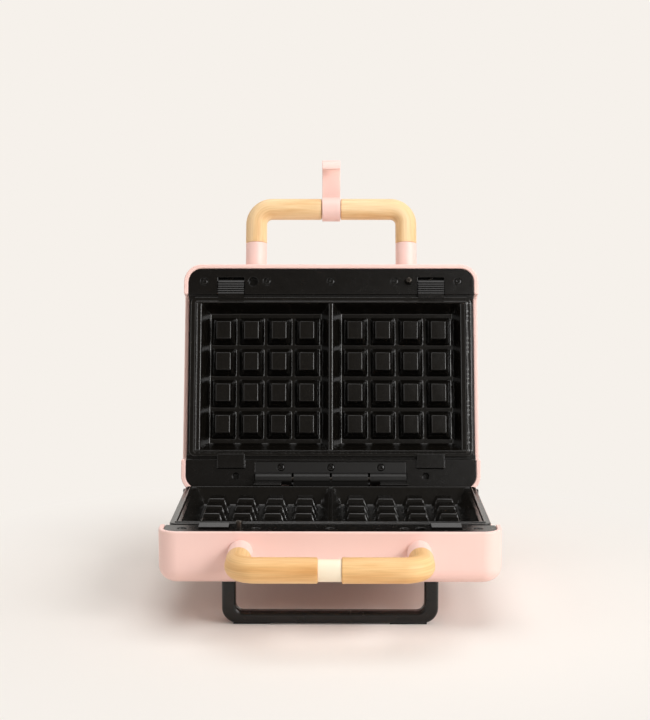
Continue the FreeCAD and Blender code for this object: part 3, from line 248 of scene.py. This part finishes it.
LOOKS = {
    "pink_enamel": pink_look(),
    "black_plastic": black_plastic_look(),
    "nonstick": nonstick_look(),
    "beech": wood_look(),
    "cream": cream_look(),
    "steel": metal_look("dark_steel", linear(64, 60, 56), 0.3),
    "tray": metal_look("tray_aluminium", linear(205, 204, 202), 0.3),
    "element": metal_look("heater_steel", linear(112, 108, 104), 0.45),
    "black_steel": black_metal_look("black_painted_metal", low_rough=0.38, high_rough=0.46),
    "black_rubber": rubber_look(),
    "lens": lens_look(),
    "white_plastic": plain_look("terminal_plastic", linear(228, 225, 216), 0.5),
    "board": plain_look("lamp_board_green", linear(70, 128, 84), 0.5),
}
SCREW_LOOK = black_metal_look("black_screw", low_rough=0.18, high_rough=0.26)
SLOT_OF = {row["node"]: row["material_slot"] for row in frame["record"]["subparts"]}
BODIES = frame["record"]["behaviour"]["bodies"]
BODY_OF = {node: body for body, members in BODIES.items() for node in members}


# Half frame: origin on the hinge axis, -Y towards the handle, Z away from the other half

def to_half(half, point):
    """Place of a point of the scene in a half's frame."""
    local = Vector(point) - HINGE
    if half == "base":
        return Vector((-local.x, local.y, -local.z))
    local.rotate(Euler((OPEN_ANGLE, 0, 0)))
    return local


def from_half(half, point):
    """Place in the scene of a point of a half's frame."""
    local = Vector(point)
    if half == "base":
        return HINGE + Vector((-local.x, local.y, -local.z))
    local.rotate(Euler((-OPEN_ANGLE, 0, 0)))
    return HINGE + local


def take_place(piece, node):
    """Show a piece in the place of a CAD node, with that node's body and finish."""
    piece.data.materials.append(LOOKS[SLOT_OF[node]])
    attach(piece, BODY_OF[node])
    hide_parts(node)
    return piece


def added(name, data):
    """New object of the scene that shows a mesh, a lamp or a camera."""
    made = bpy.data.objects.new(name, data)
    bpy.context.scene.collection.objects.link(made)
    return made


def welded(mesh):
    """A mesh to work on, with the points that lie on each other joined."""
    work = bmesh.new()
    work.from_mesh(mesh)
    bmesh.ops.remove_doubles(work, verts=work.verts, dist=WELD)
    return work


def corners_of(points):
    """Lowest and highest corners of the box round some points."""
    low = Vector(min(point[k] for point in points) for k in range(3))
    high = Vector(max(point[k] for point in points) for k in range(3))
    return low, high


def node_box(node, half):
    """Lowest and highest corners of a node, in millimetres of the half's frame."""
    return corners_of([to_half(half, vertex.co) / MM for vertex in nodes[node].data.vertices])


def loose_boxes(node, half):
    """Lowest and highest corners, in millimetres of the half's frame, of each solid of a node."""
    work = welded(nodes[node].data)
    waiting = set(work.verts)
    boxes = []
    while waiting:
        front = [waiting.pop()]
        found = []
        while front:
            vertex = front.pop()
            found.append(to_half(half, vertex.co) / MM)
            linked = {edge.other_vert(vertex) for edge in vertex.link_edges} & waiting
            waiting -= linked
            front += linked
        boxes.append(corners_of(found))
    work.free()
    return sorted(boxes, key=lambda box: tuple(box[0]))


def band(one, two):
    """Faces between two closed rows of as many points."""
    count = len(one)
    return [(one[k], one[(k + 1) % count], two[(k + 1) % count], two[k]) for k in range(count)]


def mesh_piece(name, half, verts, faces):
    """New object from points in millimetres of a half's frame."""
    mesh = bpy.data.meshes.new(name)
    mesh.from_pydata([from_half(half, Vector(v) * MM) for v in verts], [], faces)
    work = welded(mesh)
    bmesh.ops.dissolve_degenerate(work, edges=work.edges, dist=THIN_EDGE)
    bmesh.ops.recalc_face_normals(work, faces=work.faces)
    for face in work.faces:
        face.smooth = True
    work.to_mesh(mesh)
    work.free()
    mesh.set_sharp_from_angle(angle=SHARP_TURN)
    return added(name, mesh)


def keep_flats(piece):
    """Shade wide faces flat and leave the bending to the narrow ones between them."""
    shade = piece.modifiers.new("shade", "WEIGHTED_NORMAL")
    shade.keep_sharp = True
    return piece


def united(name, parts):
    """One closed piece made of overlapping or adjoining ones."""
    first = parts[0]
    for other in parts[1:]:
        join = first.modifiers.new("join", "BOOLEAN")
        join.operation = "UNION"
        join.solver = "EXACT"
        join.object = other
    bpy.context.view_layer.update()
    seen = first.evaluated_get(bpy.context.evaluated_depsgraph_get())
    mesh = bpy.data.meshes.new_from_object(seen)
    for part in parts:
        bpy.data.objects.remove(part)
    mesh.name = name
    mesh.materials.clear()
    mesh.set_sharp_from_angle(angle=SHARP_TURN)
    return added(name, mesh)


# Waffle plates, cast with round edges: one face whose depth follows the wells, blocks and ridge

PLATE_LOW, PLATE_HIGH = node_box("base_waffle_plate", "base")
PLATE_SIDE = PLATE_HIGH.x
PLATE_FRONT = PLATE_LOW.y
PLATE_REAR = PLATE_HIGH.y
PLATE_MIDDLE = (PLATE_FRONT + PLATE_REAR) / 2
PLATE_CORNER = 5.0
RIDGE_HIGH = 0.7
PLATE_FACE = PLATE_LOW.z + RIDGE_HIGH
FLANGE_UNDER = 4.1
TUB_UNDER = PLATE_HIGH.z
TUB_SIDE = 107.8
TUB_INSET = 2.05
RIDGE_IN = 3.4
RIDGE_OUT = 5.4
RIDGE_RIM = 0.35
WELL_BORDER = 5.2
WELL_ACROSS = (1.5, 105.4)
WELL_ALONG = (PLATE_FRONT + WELL_BORDER, PLATE_REAR - WELL_BORDER)
WELL_DEPTH = 12.7
WELL_LEAN = math.radians(27.0)
WELL_RUN = WELL_DEPTH * math.tan(WELL_LEAN)
BLOCK_HALF = (9.7, 11.0)
BLOCK_HEIGHT = 10.0
BLOCK_LEAN = math.radians(21.0)
BLOCK_RUN = BLOCK_HEIGHT * math.tan(BLOCK_LEAN)
BLOCK_PITCH = (22.587, 25.669)
BLOCK_COUNT = 4
BLOCK_STEPS = [k - (BLOCK_COUNT - 1) / 2 for k in range(BLOCK_COUNT)]
BLOCK_ACROSS = [sum(WELL_ACROSS) / 2 + step * BLOCK_PITCH[0] for step in BLOCK_STEPS]
BLOCK_ALONG = [PLATE_MIDDLE + step * BLOCK_PITCH[1] for step in BLOCK_STEPS]
CAST_ROUND = 0.6
WELL_MITRE = 0.9
BLOCK_MITRE = 0.8
FLANK_SHARES = (-1.0, -0.35, 0.35, 1.0)
EDGE_STEPS = (0.0, 0.08, 0.3, CAST_ROUND, 2.0)
RIDGE_STEPS = (-0.2, 0.0, 0.18, 0.35, 0.55)


def eased(value, radius):
    """Zero below, the value itself above, and a smooth curve between."""
    if value <= -radius:
        return 0.0
    if value >= radius:
        return value
    return (value + radius) ** 2 / (4 * radius)


def soft_min(one, two, reach):
    """The lesser of two values, with a smooth change from one to the other."""
    share = max(reach - abs(one - two), 0.0) / reach
    return min(one, two) - share * share * reach / 4


def slope_rise(inside, run, rise):
    """Height of a flank that starts at zero and ends after a run, with both ends rounded."""
    return rise / run * (eased(inside, CAST_ROUND) - eased(inside - run, CAST_ROUND))


def plate_depth(across, along, edge):
    """Depth of the plate's face under its level, at a place and at a distance from its edge."""
    across = abs(across)
    inside_across = min(across - WELL_ACROSS[0], WELL_ACROSS[1] - across)
    inside_along = min(along - WELL_ALONG[0], WELL_ALONG[1] - along)
    depth = slope_rise(soft_min(inside_across, inside_along, WELL_MITRE), WELL_RUN, WELL_DEPTH)
    near_across = min(BLOCK_ACROSS, key=lambda c: abs(c - across))
    near_along = min(BLOCK_ALONG, key=lambda c: abs(c - along))
    block_across = BLOCK_HALF[0] - abs(across - near_across)
    block_along = BLOCK_HALF[1] - abs(along - near_along)
    depth -= slope_rise(soft_min(block_across, block_along, BLOCK_MITRE), BLOCK_RUN, BLOCK_HEIGHT)
    rise = RIDGE_HIGH / RIDGE_RIM
    soft = RIDGE_RIM / 2
    depth -= rise * (eased(edge - RIDGE_IN, soft) - eased(edge - RIDGE_IN - RIDGE_RIM, soft))
    depth += rise * (eased(edge - RIDGE_OUT + RIDGE_RIM, soft) - eased(edge - RIDGE_OUT, soft))
    if edge < CAST_ROUND:
        depth += CAST_ROUND - math.sqrt(CAST_ROUND ** 2 - (CAST_ROUND - edge) ** 2)
    return depth


def split_along_mitre(corners, verts, depth):
    """The two triangles of a square of the mesh whose shared edge lies nearest to the true depth."""
    first, second, third, fourth = corners
    one_way = abs(verts[first][2] + verts[third][2] - 2 * depth)
    other_way = abs(verts[second][2] + verts[fourth][2] - 2 * depth)
    if one_way <= other_way:
        return [(first, second, third), (first, third, fourth)]
    return [(first, second, fourth), (second, third, fourth)]


def flank_lines(start, run, way):
    """Places of the mesh lines over one flank, closer where it is rounded."""
    lines = [start + way * CAST_ROUND * share for share in FLANK_SHARES]
    lines.append(start + way * run / 2)
    lines += [start + way * (run + CAST_ROUND * share) for share in FLANK_SHARES]
    return lines


def edge_lines(limit, way):
    """Places of the mesh lines from the plate's edge inwards, over its rounded rim and its ridge."""
    steps = list(EDGE_STEPS)
    steps += [RIDGE_IN + step for step in RIDGE_STEPS]
    steps += [RIDGE_OUT - step for step in RIDGE_STEPS]
    return [limit + way * step for step in steps]


def well_lines(well, centres, half):
    """Places of the mesh lines over the two walls of a well and the flanks of its blocks, one way."""
    lines = flank_lines(well[0], WELL_RUN, 1) + flank_lines(well[1], WELL_RUN, -1)
    for centre in centres:
        lines += flank_lines(centre - half, BLOCK_RUN, 1)
        lines += flank_lines(centre + half, BLOCK_RUN, -1)
    return lines


def plate_lines():
    """Places of all mesh lines of a plate, across it and along it."""
    across = edge_lines(PLATE_SIDE, -1) + well_lines(WELL_ACROSS, BLOCK_ACROSS, BLOCK_HALF[0])
    across = sorted(across + [-value for value in across] + [0.0])
    along = edge_lines(PLATE_FRONT, 1) + edge_lines(PLATE_REAR, -1)
    along += well_lines(WELL_ALONG, BLOCK_ALONG, BLOCK_HALF[1])
    return across, sorted(along)


def rounded_corner(across, along):
    """A place on a square-cornered plate moved to where it lies on the round-cornered one."""
    reach_across = PLATE_SIDE - PLATE_CORNER
    reach_along = (PLATE_REAR - PLATE_FRONT) / 2 - PLATE_CORNER
    over_across = abs(across) - reach_across
    over_along = abs(along - PLATE_MIDDLE) - reach_along
    if over_across <= 0 or over_along <= 0:
        return across, along
    share = max(over_across, over_along) / math.hypot(over_across, over_along)
    across = math.copysign(reach_across + over_across * share, across)
    along = PLATE_MIDDLE + math.copysign(reach_along + over_along * share, along - PLATE_MIDDLE)
    return across, along


def outer_ring(rows, columns):
    """Numbers of the points round the edge of a grid of points."""
    last = rows - 1
    ring = list(range(columns))
    ring += [row * columns + columns - 1 for row in range(1, rows)]
    ring += [last * columns + column for column in range(columns - 2, -1, -1)]
    ring += [row * columns for row in range(last - 1, 0, -1)]
    return ring


def make_plate(half):
    """One plate: its face as a grid of points, with a flange and a tub under it."""
    across, along = plate_lines()
    columns = len(across)

    def level(x, y):
        edge = min(PLATE_SIDE - abs(x), y - PLATE_FRONT, PLATE_REAR - y)
        return PLATE_FACE + plate_depth(x, y, max(edge, 0.0))

    verts = [(*rounded_corner(x, y), level(x, y)) for y in along for x in across]
    faces = []
    for row in range(len(along) - 1):
        for column in range(columns - 1):
            first = row * columns + column
            corners = (first, first + 1, first + columns + 1, first + columns)
            middle_x = (across[column] + across[column + 1]) / 2
            middle_y = (along[row] + along[row + 1]) / 2
            faces += split_along_mitre(corners, verts, level(middle_x, middle_y))
    ring = outer_ring(len(along), columns)
    tub_front = PLATE_FRONT + TUB_INSET
    tub_rear = PLATE_REAR - TUB_INSET
    loops = [ring]
    for under, is_tub in ((FLANGE_UNDER, False), (FLANGE_UNDER, True), (TUB_UNDER, True)):
        start = len(verts)
        for index in ring:
            x, y, _ = verts[index]
            if is_tub:
                x = max(-TUB_SIDE, min(TUB_SIDE, x))
                y = max(tub_front, min(tub_rear, y))
            verts.append((x, y, under))
        loops.append(list(range(start, start + len(ring))))
    for upper, lower in zip(loops, loops[1:]):
        faces += band(upper, lower)
    faces.append(tuple(loops[-1]))
    node = f"{half}_waffle_plate"
    return take_place(keep_flats(mesh_piece(f"{node}_shape", half, verts, faces)), node)


# Screws of the inner frames: low heads with a cross recess

CROSS_ARMS = 4
CROSS_ARM = 1.5
CROSS_HALF = 0.42
CROSS_DEPTH = 0.9
CROSS_TAPER = 0.3
CROSS_TURN = math.radians(30.0)
HEAD_SIDES = 24
HEAD_CURVE = ((0.66, 0.02), (0.86, 0.16), (0.97, 0.36), (1.0, 0.6), (1.0, 1.3))
SHANK_SHARE = 0.5


def add_screw(low, high, verts, faces):
    """Add one screw that faces out of its half: a domed head with a cross recess, and its shank."""
    middle = (low + high) / 2
    radius = (high.x - low.x) / 2
    top = low.z

    def ring(share, level):
        start = len(verts)
        for k in range(HEAD_SIDES):
            turn = 2 * math.pi * k / HEAD_SIDES
            reach = radius * share
            verts.append((middle.x + reach * math.cos(turn), middle.y + reach * math.sin(turn), level))
        return list(range(start, len(verts)))

    def cross(share, level):
        start = len(verts)
        slim = CROSS_HALF * share
        arm = CROSS_ARM * share
        for k in range(CROSS_ARMS):
            turn = 2 * math.pi * k / CROSS_ARMS + CROSS_TURN
            for out, over in ((slim, -slim), (arm, -slim), (arm, slim)):
                x = out * math.cos(turn) - over * math.sin(turn)
                y = out * math.sin(turn) + over * math.cos(turn)
                verts.append((middle.x + x, middle.y + y, level))
        return list(range(start, len(verts)))

    lip = cross(1.0, top)
    floor = cross(CROSS_TAPER, top + CROSS_DEPTH)
    faces += band(lip, floor)
    faces.append(tuple(floor))
    rings = [ring(share, top + drop) for share, drop in HEAD_CURVE]
    inner = rings[0]
    corners = range(len(lip))
    nearest = [min(corners, key=lambda k: math.dist(verts[lip[k]], verts[index])) for index in inner]
    for k in range(HEAD_SIDES):
        after = (k + 1) % HEAD_SIDES
        here, there = nearest[k], nearest[after]
        faces.append((inner[k], inner[after], lip[there]))
        while here != there:
            step = (here + 1) % len(lip)
            faces.append((inner[k], lip[step], lip[here]))
            here = step
    rings.append(ring(SHANK_SHARE, top + HEAD_CURVE[-1][1]))
    rings.append(ring(SHANK_SHARE, high.z))
    for upper, lower in zip(rings, rings[1:]):
        faces += band(upper, lower)
    faces.append(tuple(rings[-1]))


def make_screws(half):
    """The screws of one inner frame, each where the frame's solids have one."""
    node = f"{half}_frame_screws"
    verts = []
    faces = []
    for low, high in loose_boxes(node, half):
        add_screw(low, high, verts, faces)
    screws = take_place(mesh_piece(f"{node}_shape", half, verts, faces), node)
    screws.data.materials[0] = SCREW_LOOK


# Plate latches with slanted finger ribs

LATCH_LENGTH = 11.0
LATCH_WING = 1.7
LATCH_WING_DROP = 5.3
TONGUE_DROP = 0.4
TONGUE_HEIGHT = 0.8
RIB_COUNT = 6
RIB_LEAN = math.tan(math.radians(25.0))
RIB_STEEP = 0.9
JOIN_DEPTH = 0.5
JOIN_STEP = 0.05


def profile_piece(name, half, left, right, outline):
    """A closed outline of along and depth values, drawn out from left to right."""
    count = len(outline)
    verts = [(across, along, depth) for across in (left, right) for along, depth in outline]
    near = list(range(count))
    far = list(range(count, 2 * count))
    return mesh_piece(name, half, verts, [tuple(near), tuple(far)] + band(near, far))


def block_piece(name, half, low, high):
    """A block between its lowest and highest corners."""
    outline = [(low[1], low[2]), (high[1], low[2]), (high[1], high[2]), (low[1], high[2])]
    return profile_piece(name, half, low[0], high[0], outline)


def make_latch(half, side):
    """One latch: a ribbed block with a wing at each side and a tongue over the plate's edge."""
    node = f"{half}_latch_{side}"
    low, high = node_box(node, half)
    left = low.x + LATCH_WING
    right = high.x - LATCH_WING
    back = low.y + LATCH_LENGTH
    pitch = LATCH_LENGTH / RIB_COUNT
    foot = low.z + pitch * RIB_STEEP * RIB_LEAN
    outline = [(low.y, high.z)]
    for k in range(RIB_COUNT):
        outline.append((low.y + pitch * k, foot))
        outline.append((low.y + pitch * (k + RIB_STEEP), low.z))
    outline.append((back, foot))
    outline.append((back, high.z))
    wing_low = (low.x, low.y + JOIN_STEP, low.z + LATCH_WING_DROP)
    wing_high = (high.x, back - JOIN_STEP, high.z - JOIN_STEP)
    tongue_top = low.z + TONGUE_DROP
    tongue_low = (left + JOIN_STEP, back - JOIN_DEPTH, tongue_top)
    tongue_high = (right - JOIN_STEP, high.y, tongue_top + TONGUE_HEIGHT)
    parts = [profile_piece("ribbed", half, left, right, outline),
             block_piece("wings", half, wing_low, wing_high),
             block_piece("tongue", half, tongue_low, tongue_high)]
    return take_place(united(f"{node}_shape", parts), node)


for half in HALVES:
    make_plate(half)
    make_screws(half)
    for side in SIDES:
        make_latch(half, side)


# Pieces with rounded edges stand for the plain CAD nodes

ROUND_SEGMENTS = 2
ROUND_TURN = math.radians(40.0)


def round_edges(piece, width):
    """Round a piece's sharp edges, over a width in millimetres."""
    bevel = piece.modifiers.new("round_edges", "BEVEL")
    bevel.width = width * MM
    bevel.segments = ROUND_SEGMENTS
    bevel.limit_method = "ANGLE"
    bevel.angle_limit = ROUND_TURN
    bevel.use_clamp_overlap = False
    bevel.miter_outer = "MITER_ARC"
    keep_flats(piece)


def tidied(piece):
    """Merge the points and flat facets of a piece's mesh, for a clean base to round."""
    work = welded(piece.data)
    bmesh.ops.dissolve_limit(work, angle_limit=FLAT_TURN, verts=work.verts, edges=work.edges)
    for face in work.faces:
        face.smooth = True
    work.to_mesh(piece.data)
    work.free()
    return piece


def copied(node):
    """New object with a joined copy of a node's mesh."""
    mesh = bpy.data.meshes.new(f"{node}_soft")
    work = welded(nodes[node].data)
    work.to_mesh(mesh)
    work.free()
    return added(f"{node}_shape", mesh)


def softened(node, width):
    """A copy of a node's mesh with its sharp edges rounded, in the node's place."""
    piece = tidied(copied(node))
    round_edges(piece, width)
    return take_place(piece, node)


EDGE_WIDTHS = {
    "base_shell": 0.9,
    "lid_shell": 0.9,
    "base_inner_frame": 0.5,
    "lid_inner_frame": 0.5,
    "front_leg": 0.7,
    "rear_leg": 0.7,
    "base_hinge_bracket": 0.3,
    "lid_hinge_bracket": 0.3,
}
for half in HALVES:
    EDGE_WIDTHS[f"{half}_handle_core"] = 0.4
    for side in SIDES:
        EDGE_WIDTHS[f"{half}_handle_post_{side}"] = 0.5
        EDGE_WIDTHS[f"{half}_grip_{side}"] = 0.7

pieces = {node: softened(node, width) for node, width in EDGE_WIDTHS.items()}

# Looks of the CAD nodes
for node, obj in nodes.items():
    obj.data.materials.clear()
    obj.data.materials.append(LOOKS[SLOT_OF[node]])


# Wood grain follows each grip round its bend

CORE_LOW, CORE_HIGH = node_box("base_handle_core", "base")
POST_LOW, POST_HIGH = node_box("base_handle_post_left", "base")
BAR = (CORE_LOW + CORE_HIGH) / 2 * MM
POST_ACROSS = (POST_LOW.x + POST_HIGH.x) / 2 * MM
BEND = 13.0 * MM
# Painted light: the lid's grips get the paler wood, standing in for the brighter light on them; the base's grips
# get none
WOOD_PAINTED_LIGHT = {"base": 0.0, "lid": 1.0}


def grain_of(point, side):
    """Straightened place of a point of a grip: along it, and two ways across it."""
    across = point.x * side
    up = point.z - BAR.z
    corner = Vector((POST_ACROSS - BEND, BAR.y + BEND))
    if across < corner.x:
        return Vector((across, point.y - BAR.y, up))
    if point.y > corner.y:
        run = corner.x + BEND * math.pi / 2
        return Vector((run + point.y - corner.y, POST_ACROSS - across, up))
    offset = Vector((across - corner.x, point.y - corner.y))
    turn = math.atan2(offset.x, -offset.y)
    return Vector((corner.x + BEND * turn, BEND - offset.length, up))


def add_grain(node, half, shift):
    """Store the grain's place, shifted so that no two grips look alike, and the share of painted light that makes
    the wood paler.
    """
    mesh = pieces[node].data
    mesh.attributes.new("grain", "FLOAT_VECTOR", "POINT")
    mesh.attributes.new("painted_light", "FLOAT", "POINT")
    grain = mesh.attributes["grain"].data
    painted_light = mesh.attributes["painted_light"].data
    for vertex in mesh.vertices:
        place = to_half(half, vertex.co)
        side = 1 if place.x > 0 else -1
        grain[vertex.index].vector = grain_of(place, side) + Vector(shift)
        painted_light[vertex.index].value = WOOD_PAINTED_LIGHT[half]


GRAIN_SHIFTS = {
    "base_grip_left": (0.3, 0.02, 0.05),
    "base_grip_right": (0.9, 0.05, 0.01),
    "lid_grip_left": (1.6, 0.03, 0.09),
    "lid_grip_right": (2.2, 0.08, 0.03),
}
for grip, shift in GRAIN_SHIFTS.items():
    add_grain(grip, grip.split("_")[0], shift)


# Locking clip with the lip of its hook carried on round, where the stiff solid ends short

LIP_START = math.radians(205.0)
LIP_END = math.radians(266.0)
LIP_STEPS = 14
CLIP_THICKNESS = 2.2
CLIP_EDGE = 0.5


def make_clip():
    """The clip's solid joined with a lip that goes on round the hook."""
    low, high = node_box("locking_clip", "lid")
    level = BAR.z / MM
    outer = high.z - level
    centre = low.y + outer
    turns = [LIP_START + (LIP_END - LIP_START) * k / LIP_STEPS for k in range(LIP_STEPS + 1)]

    def arc(reach):
        return [(centre + reach * math.cos(turn), level + reach * math.sin(turn)) for turn in turns]

    outline = arc(outer) + arc(outer - CLIP_THICKNESS)[::-1]
    lip = profile_piece("lip", "lid", low.x, high.x, outline)
    clip = tidied(united("locking_clip_shape", [copied("locking_clip"), lip]))
    round_edges(clip, CLIP_EDGE)
    return take_place(clip, "locking_clip")


make_clip()


# Stage: a pale sweep and a low wall all round, lit near the object and plain further off

BACKDROP = linear(246, 241, 235)
LIT_REACH = 0.11
PLAIN_REACH = 0.4
STAGE_REACH = 9.0
SWEEP_FAR = 1.6
SWEEP_HEIGHT = 4.0
SWEEP_BEND = 0.9
SWEEP_STEPS = 24
WALL_HEIGHT = 2.0
WALL_SIDES = 96


def sweep_look():
    """Paper that takes light and shadow near the object, and shows one plain colour further off."""
    look = Look("sweep_paper", linear(235, 230, 225), 0.9, Specular_IOR_Level=0.1)
    look.vary(look.noise(scale=1.5, detail=2.0), linear(234, 229, 224), linear(236, 231, 226))
    distance = look.node("ShaderNodeVectorMath", operation="LENGTH")
    look.link(look.place(), distance.inputs["Vector"])
    fade = look.node("ShaderNodeMapRange", interpolation_type="SMOOTHSTEP")
    fade.inputs["From Min"].default_value = LIT_REACH
    fade.inputs["From Max"].default_value = PLAIN_REACH
    look.link(distance.outputs["Value"], fade.inputs["Value"])
    path = look.node("ShaderNodeLightPath")
    seen = path.outputs["Is Camera Ray"]
    for kind in ("Is Glossy Ray", "Is Transmission Ray"):
        either = look.node("ShaderNodeMath", operation="MAXIMUM")
        look.link(seen, either.inputs[0])
        look.link(path.outputs[kind], either.inputs[1])
        seen = either.outputs["Value"]
    share = look.node("ShaderNodeMath", operation="MULTIPLY")
    look.link(fade.outputs["Result"], share.inputs[0])
    look.link(seen, share.inputs[1])
    plain = look.node("ShaderNodeEmission", Color=BACKDROP, Strength=1.0)
    mixed = look.node("ShaderNodeMixShader")
    look.link(share.outputs["Value"], mixed.inputs["Fac"])
    look.link(look.shader.outputs["BSDF"], mixed.inputs[1])
    look.link(plain.outputs["Emission"], mixed.inputs[2])
    look.link(mixed.outputs["Shader"], look.tree.nodes["Material Output"].inputs["Surface"])
    return look.material


def stage_piece(name, verts, faces, material):
    """A smooth piece of the stage, from points in metres."""
    mesh = bpy.data.meshes.new(name)
    mesh.from_pydata(verts, [], faces)
    mesh.update()
    for face in mesh.polygons:
        face.use_smooth = True
    mesh.materials.append(material)
    obj = added(name, mesh)


def make_sweep(material):
    """A floor that bends up into a back wall."""
    start = SWEEP_FAR - SWEEP_BEND
    outline = [(-STAGE_REACH, 0.0), (start, 0.0)]
    for k in range(1, SWEEP_STEPS + 1):
        turn = math.pi / 2 * k / SWEEP_STEPS
        outline.append((start + SWEEP_BEND * math.sin(turn), SWEEP_BEND - SWEEP_BEND * math.cos(turn)))
    outline.append((SWEEP_FAR, SWEEP_HEIGHT))
    verts = [(x, y, z) for y, z in outline for x in (-STAGE_REACH, STAGE_REACH)]
    faces = [(2 * k, 2 * k + 1, 2 * k + 3, 2 * k + 2) for k in range(len(outline) - 1)]
    stage_piece("sweep", verts, faces, material)


def make_wall(material):
    """A round wall at the end of the floor, for views from other sides."""
    verts = []
    for k in range(WALL_SIDES):
        turn = 2 * math.pi * k / WALL_SIDES
        for level in (0.0, WALL_HEIGHT):
            verts.append((STAGE_REACH * math.sin(turn), -STAGE_REACH * math.cos(turn), level))
    count = len(verts)
    faces = [(k, k + 1, (k + 3) % count, (k + 2) % count) for k in range(0, count, 2)]
    stage_piece("wall", verts, faces, material)


paper = sweep_look()
make_sweep(paper)
make_wall(paper)


LAMP_COLOUR = (1.0, 0.995, 0.99)


def area_light(name, place, target, size, power):
    """A round lamp turned from its place to a target, in metres and watts."""
    data = bpy.data.lights.new(name, "AREA")
    data.shape = "DISK"
    data.size = size
    data.energy = power
    data.color = LAMP_COLOUR
    lamp = added(name, data)
    lamp.location = place
    lamp.rotation_euler = (Vector(target) - Vector(place)).to_track_quat("-Z", "Y").to_euler()


area_light("key", place=(1.3, -0.85, 0.95), target=(0, 0, 0.12), size=1.1, power=20.5)
area_light("top", place=(0.0, 0.2, 2.2), target=(0, 0, 0.12), size=2.2, power=26.5)
area_light("fill", place=(-1.4, -0.3, 0.8), target=(0, 0, 0.1), size=1.2, power=4.5)
area_light("edge", place=(0.95, -1.75, 1.0), target=(0, 0, 0.2), size=0.6, power=11.0)

WORLD_COLOUR = linear(250, 238, 224)
WORLD_STRENGTH = 0.15
world = bpy.data.worlds.new("studio")
bpy.context.scene.world = world
world.use_nodes = True
sky = world.node_tree.nodes["Background"]
sky.inputs["Color"].default_value = WORLD_COLOUR
sky.inputs["Strength"].default_value = WORLD_STRENGTH

# Camera, fitted to the photo's outlines
CAMERA_PLACE = Vector((3.9, -1185.25, 324.7)) * MM
CAMERA_PITCH = math.radians(7.18)
CAMERA_YAW = math.radians(-0.39)
CAMERA_LENS = 79.85
SENSOR_WIDTH = 36.0
camera_data = bpy.data.cameras.new("camera")
camera_data.lens = CAMERA_LENS
camera_data.sensor_width = SENSOR_WIDTH
camera = added("camera", camera_data)
camera.location = CAMERA_PLACE
camera.rotation_euler = (math.pi / 2 - CAMERA_PITCH, 0, -CAMERA_YAW)
bpy.context.scene.camera = camera
bpy.context.scene.view_settings.view_transform = "Standard"
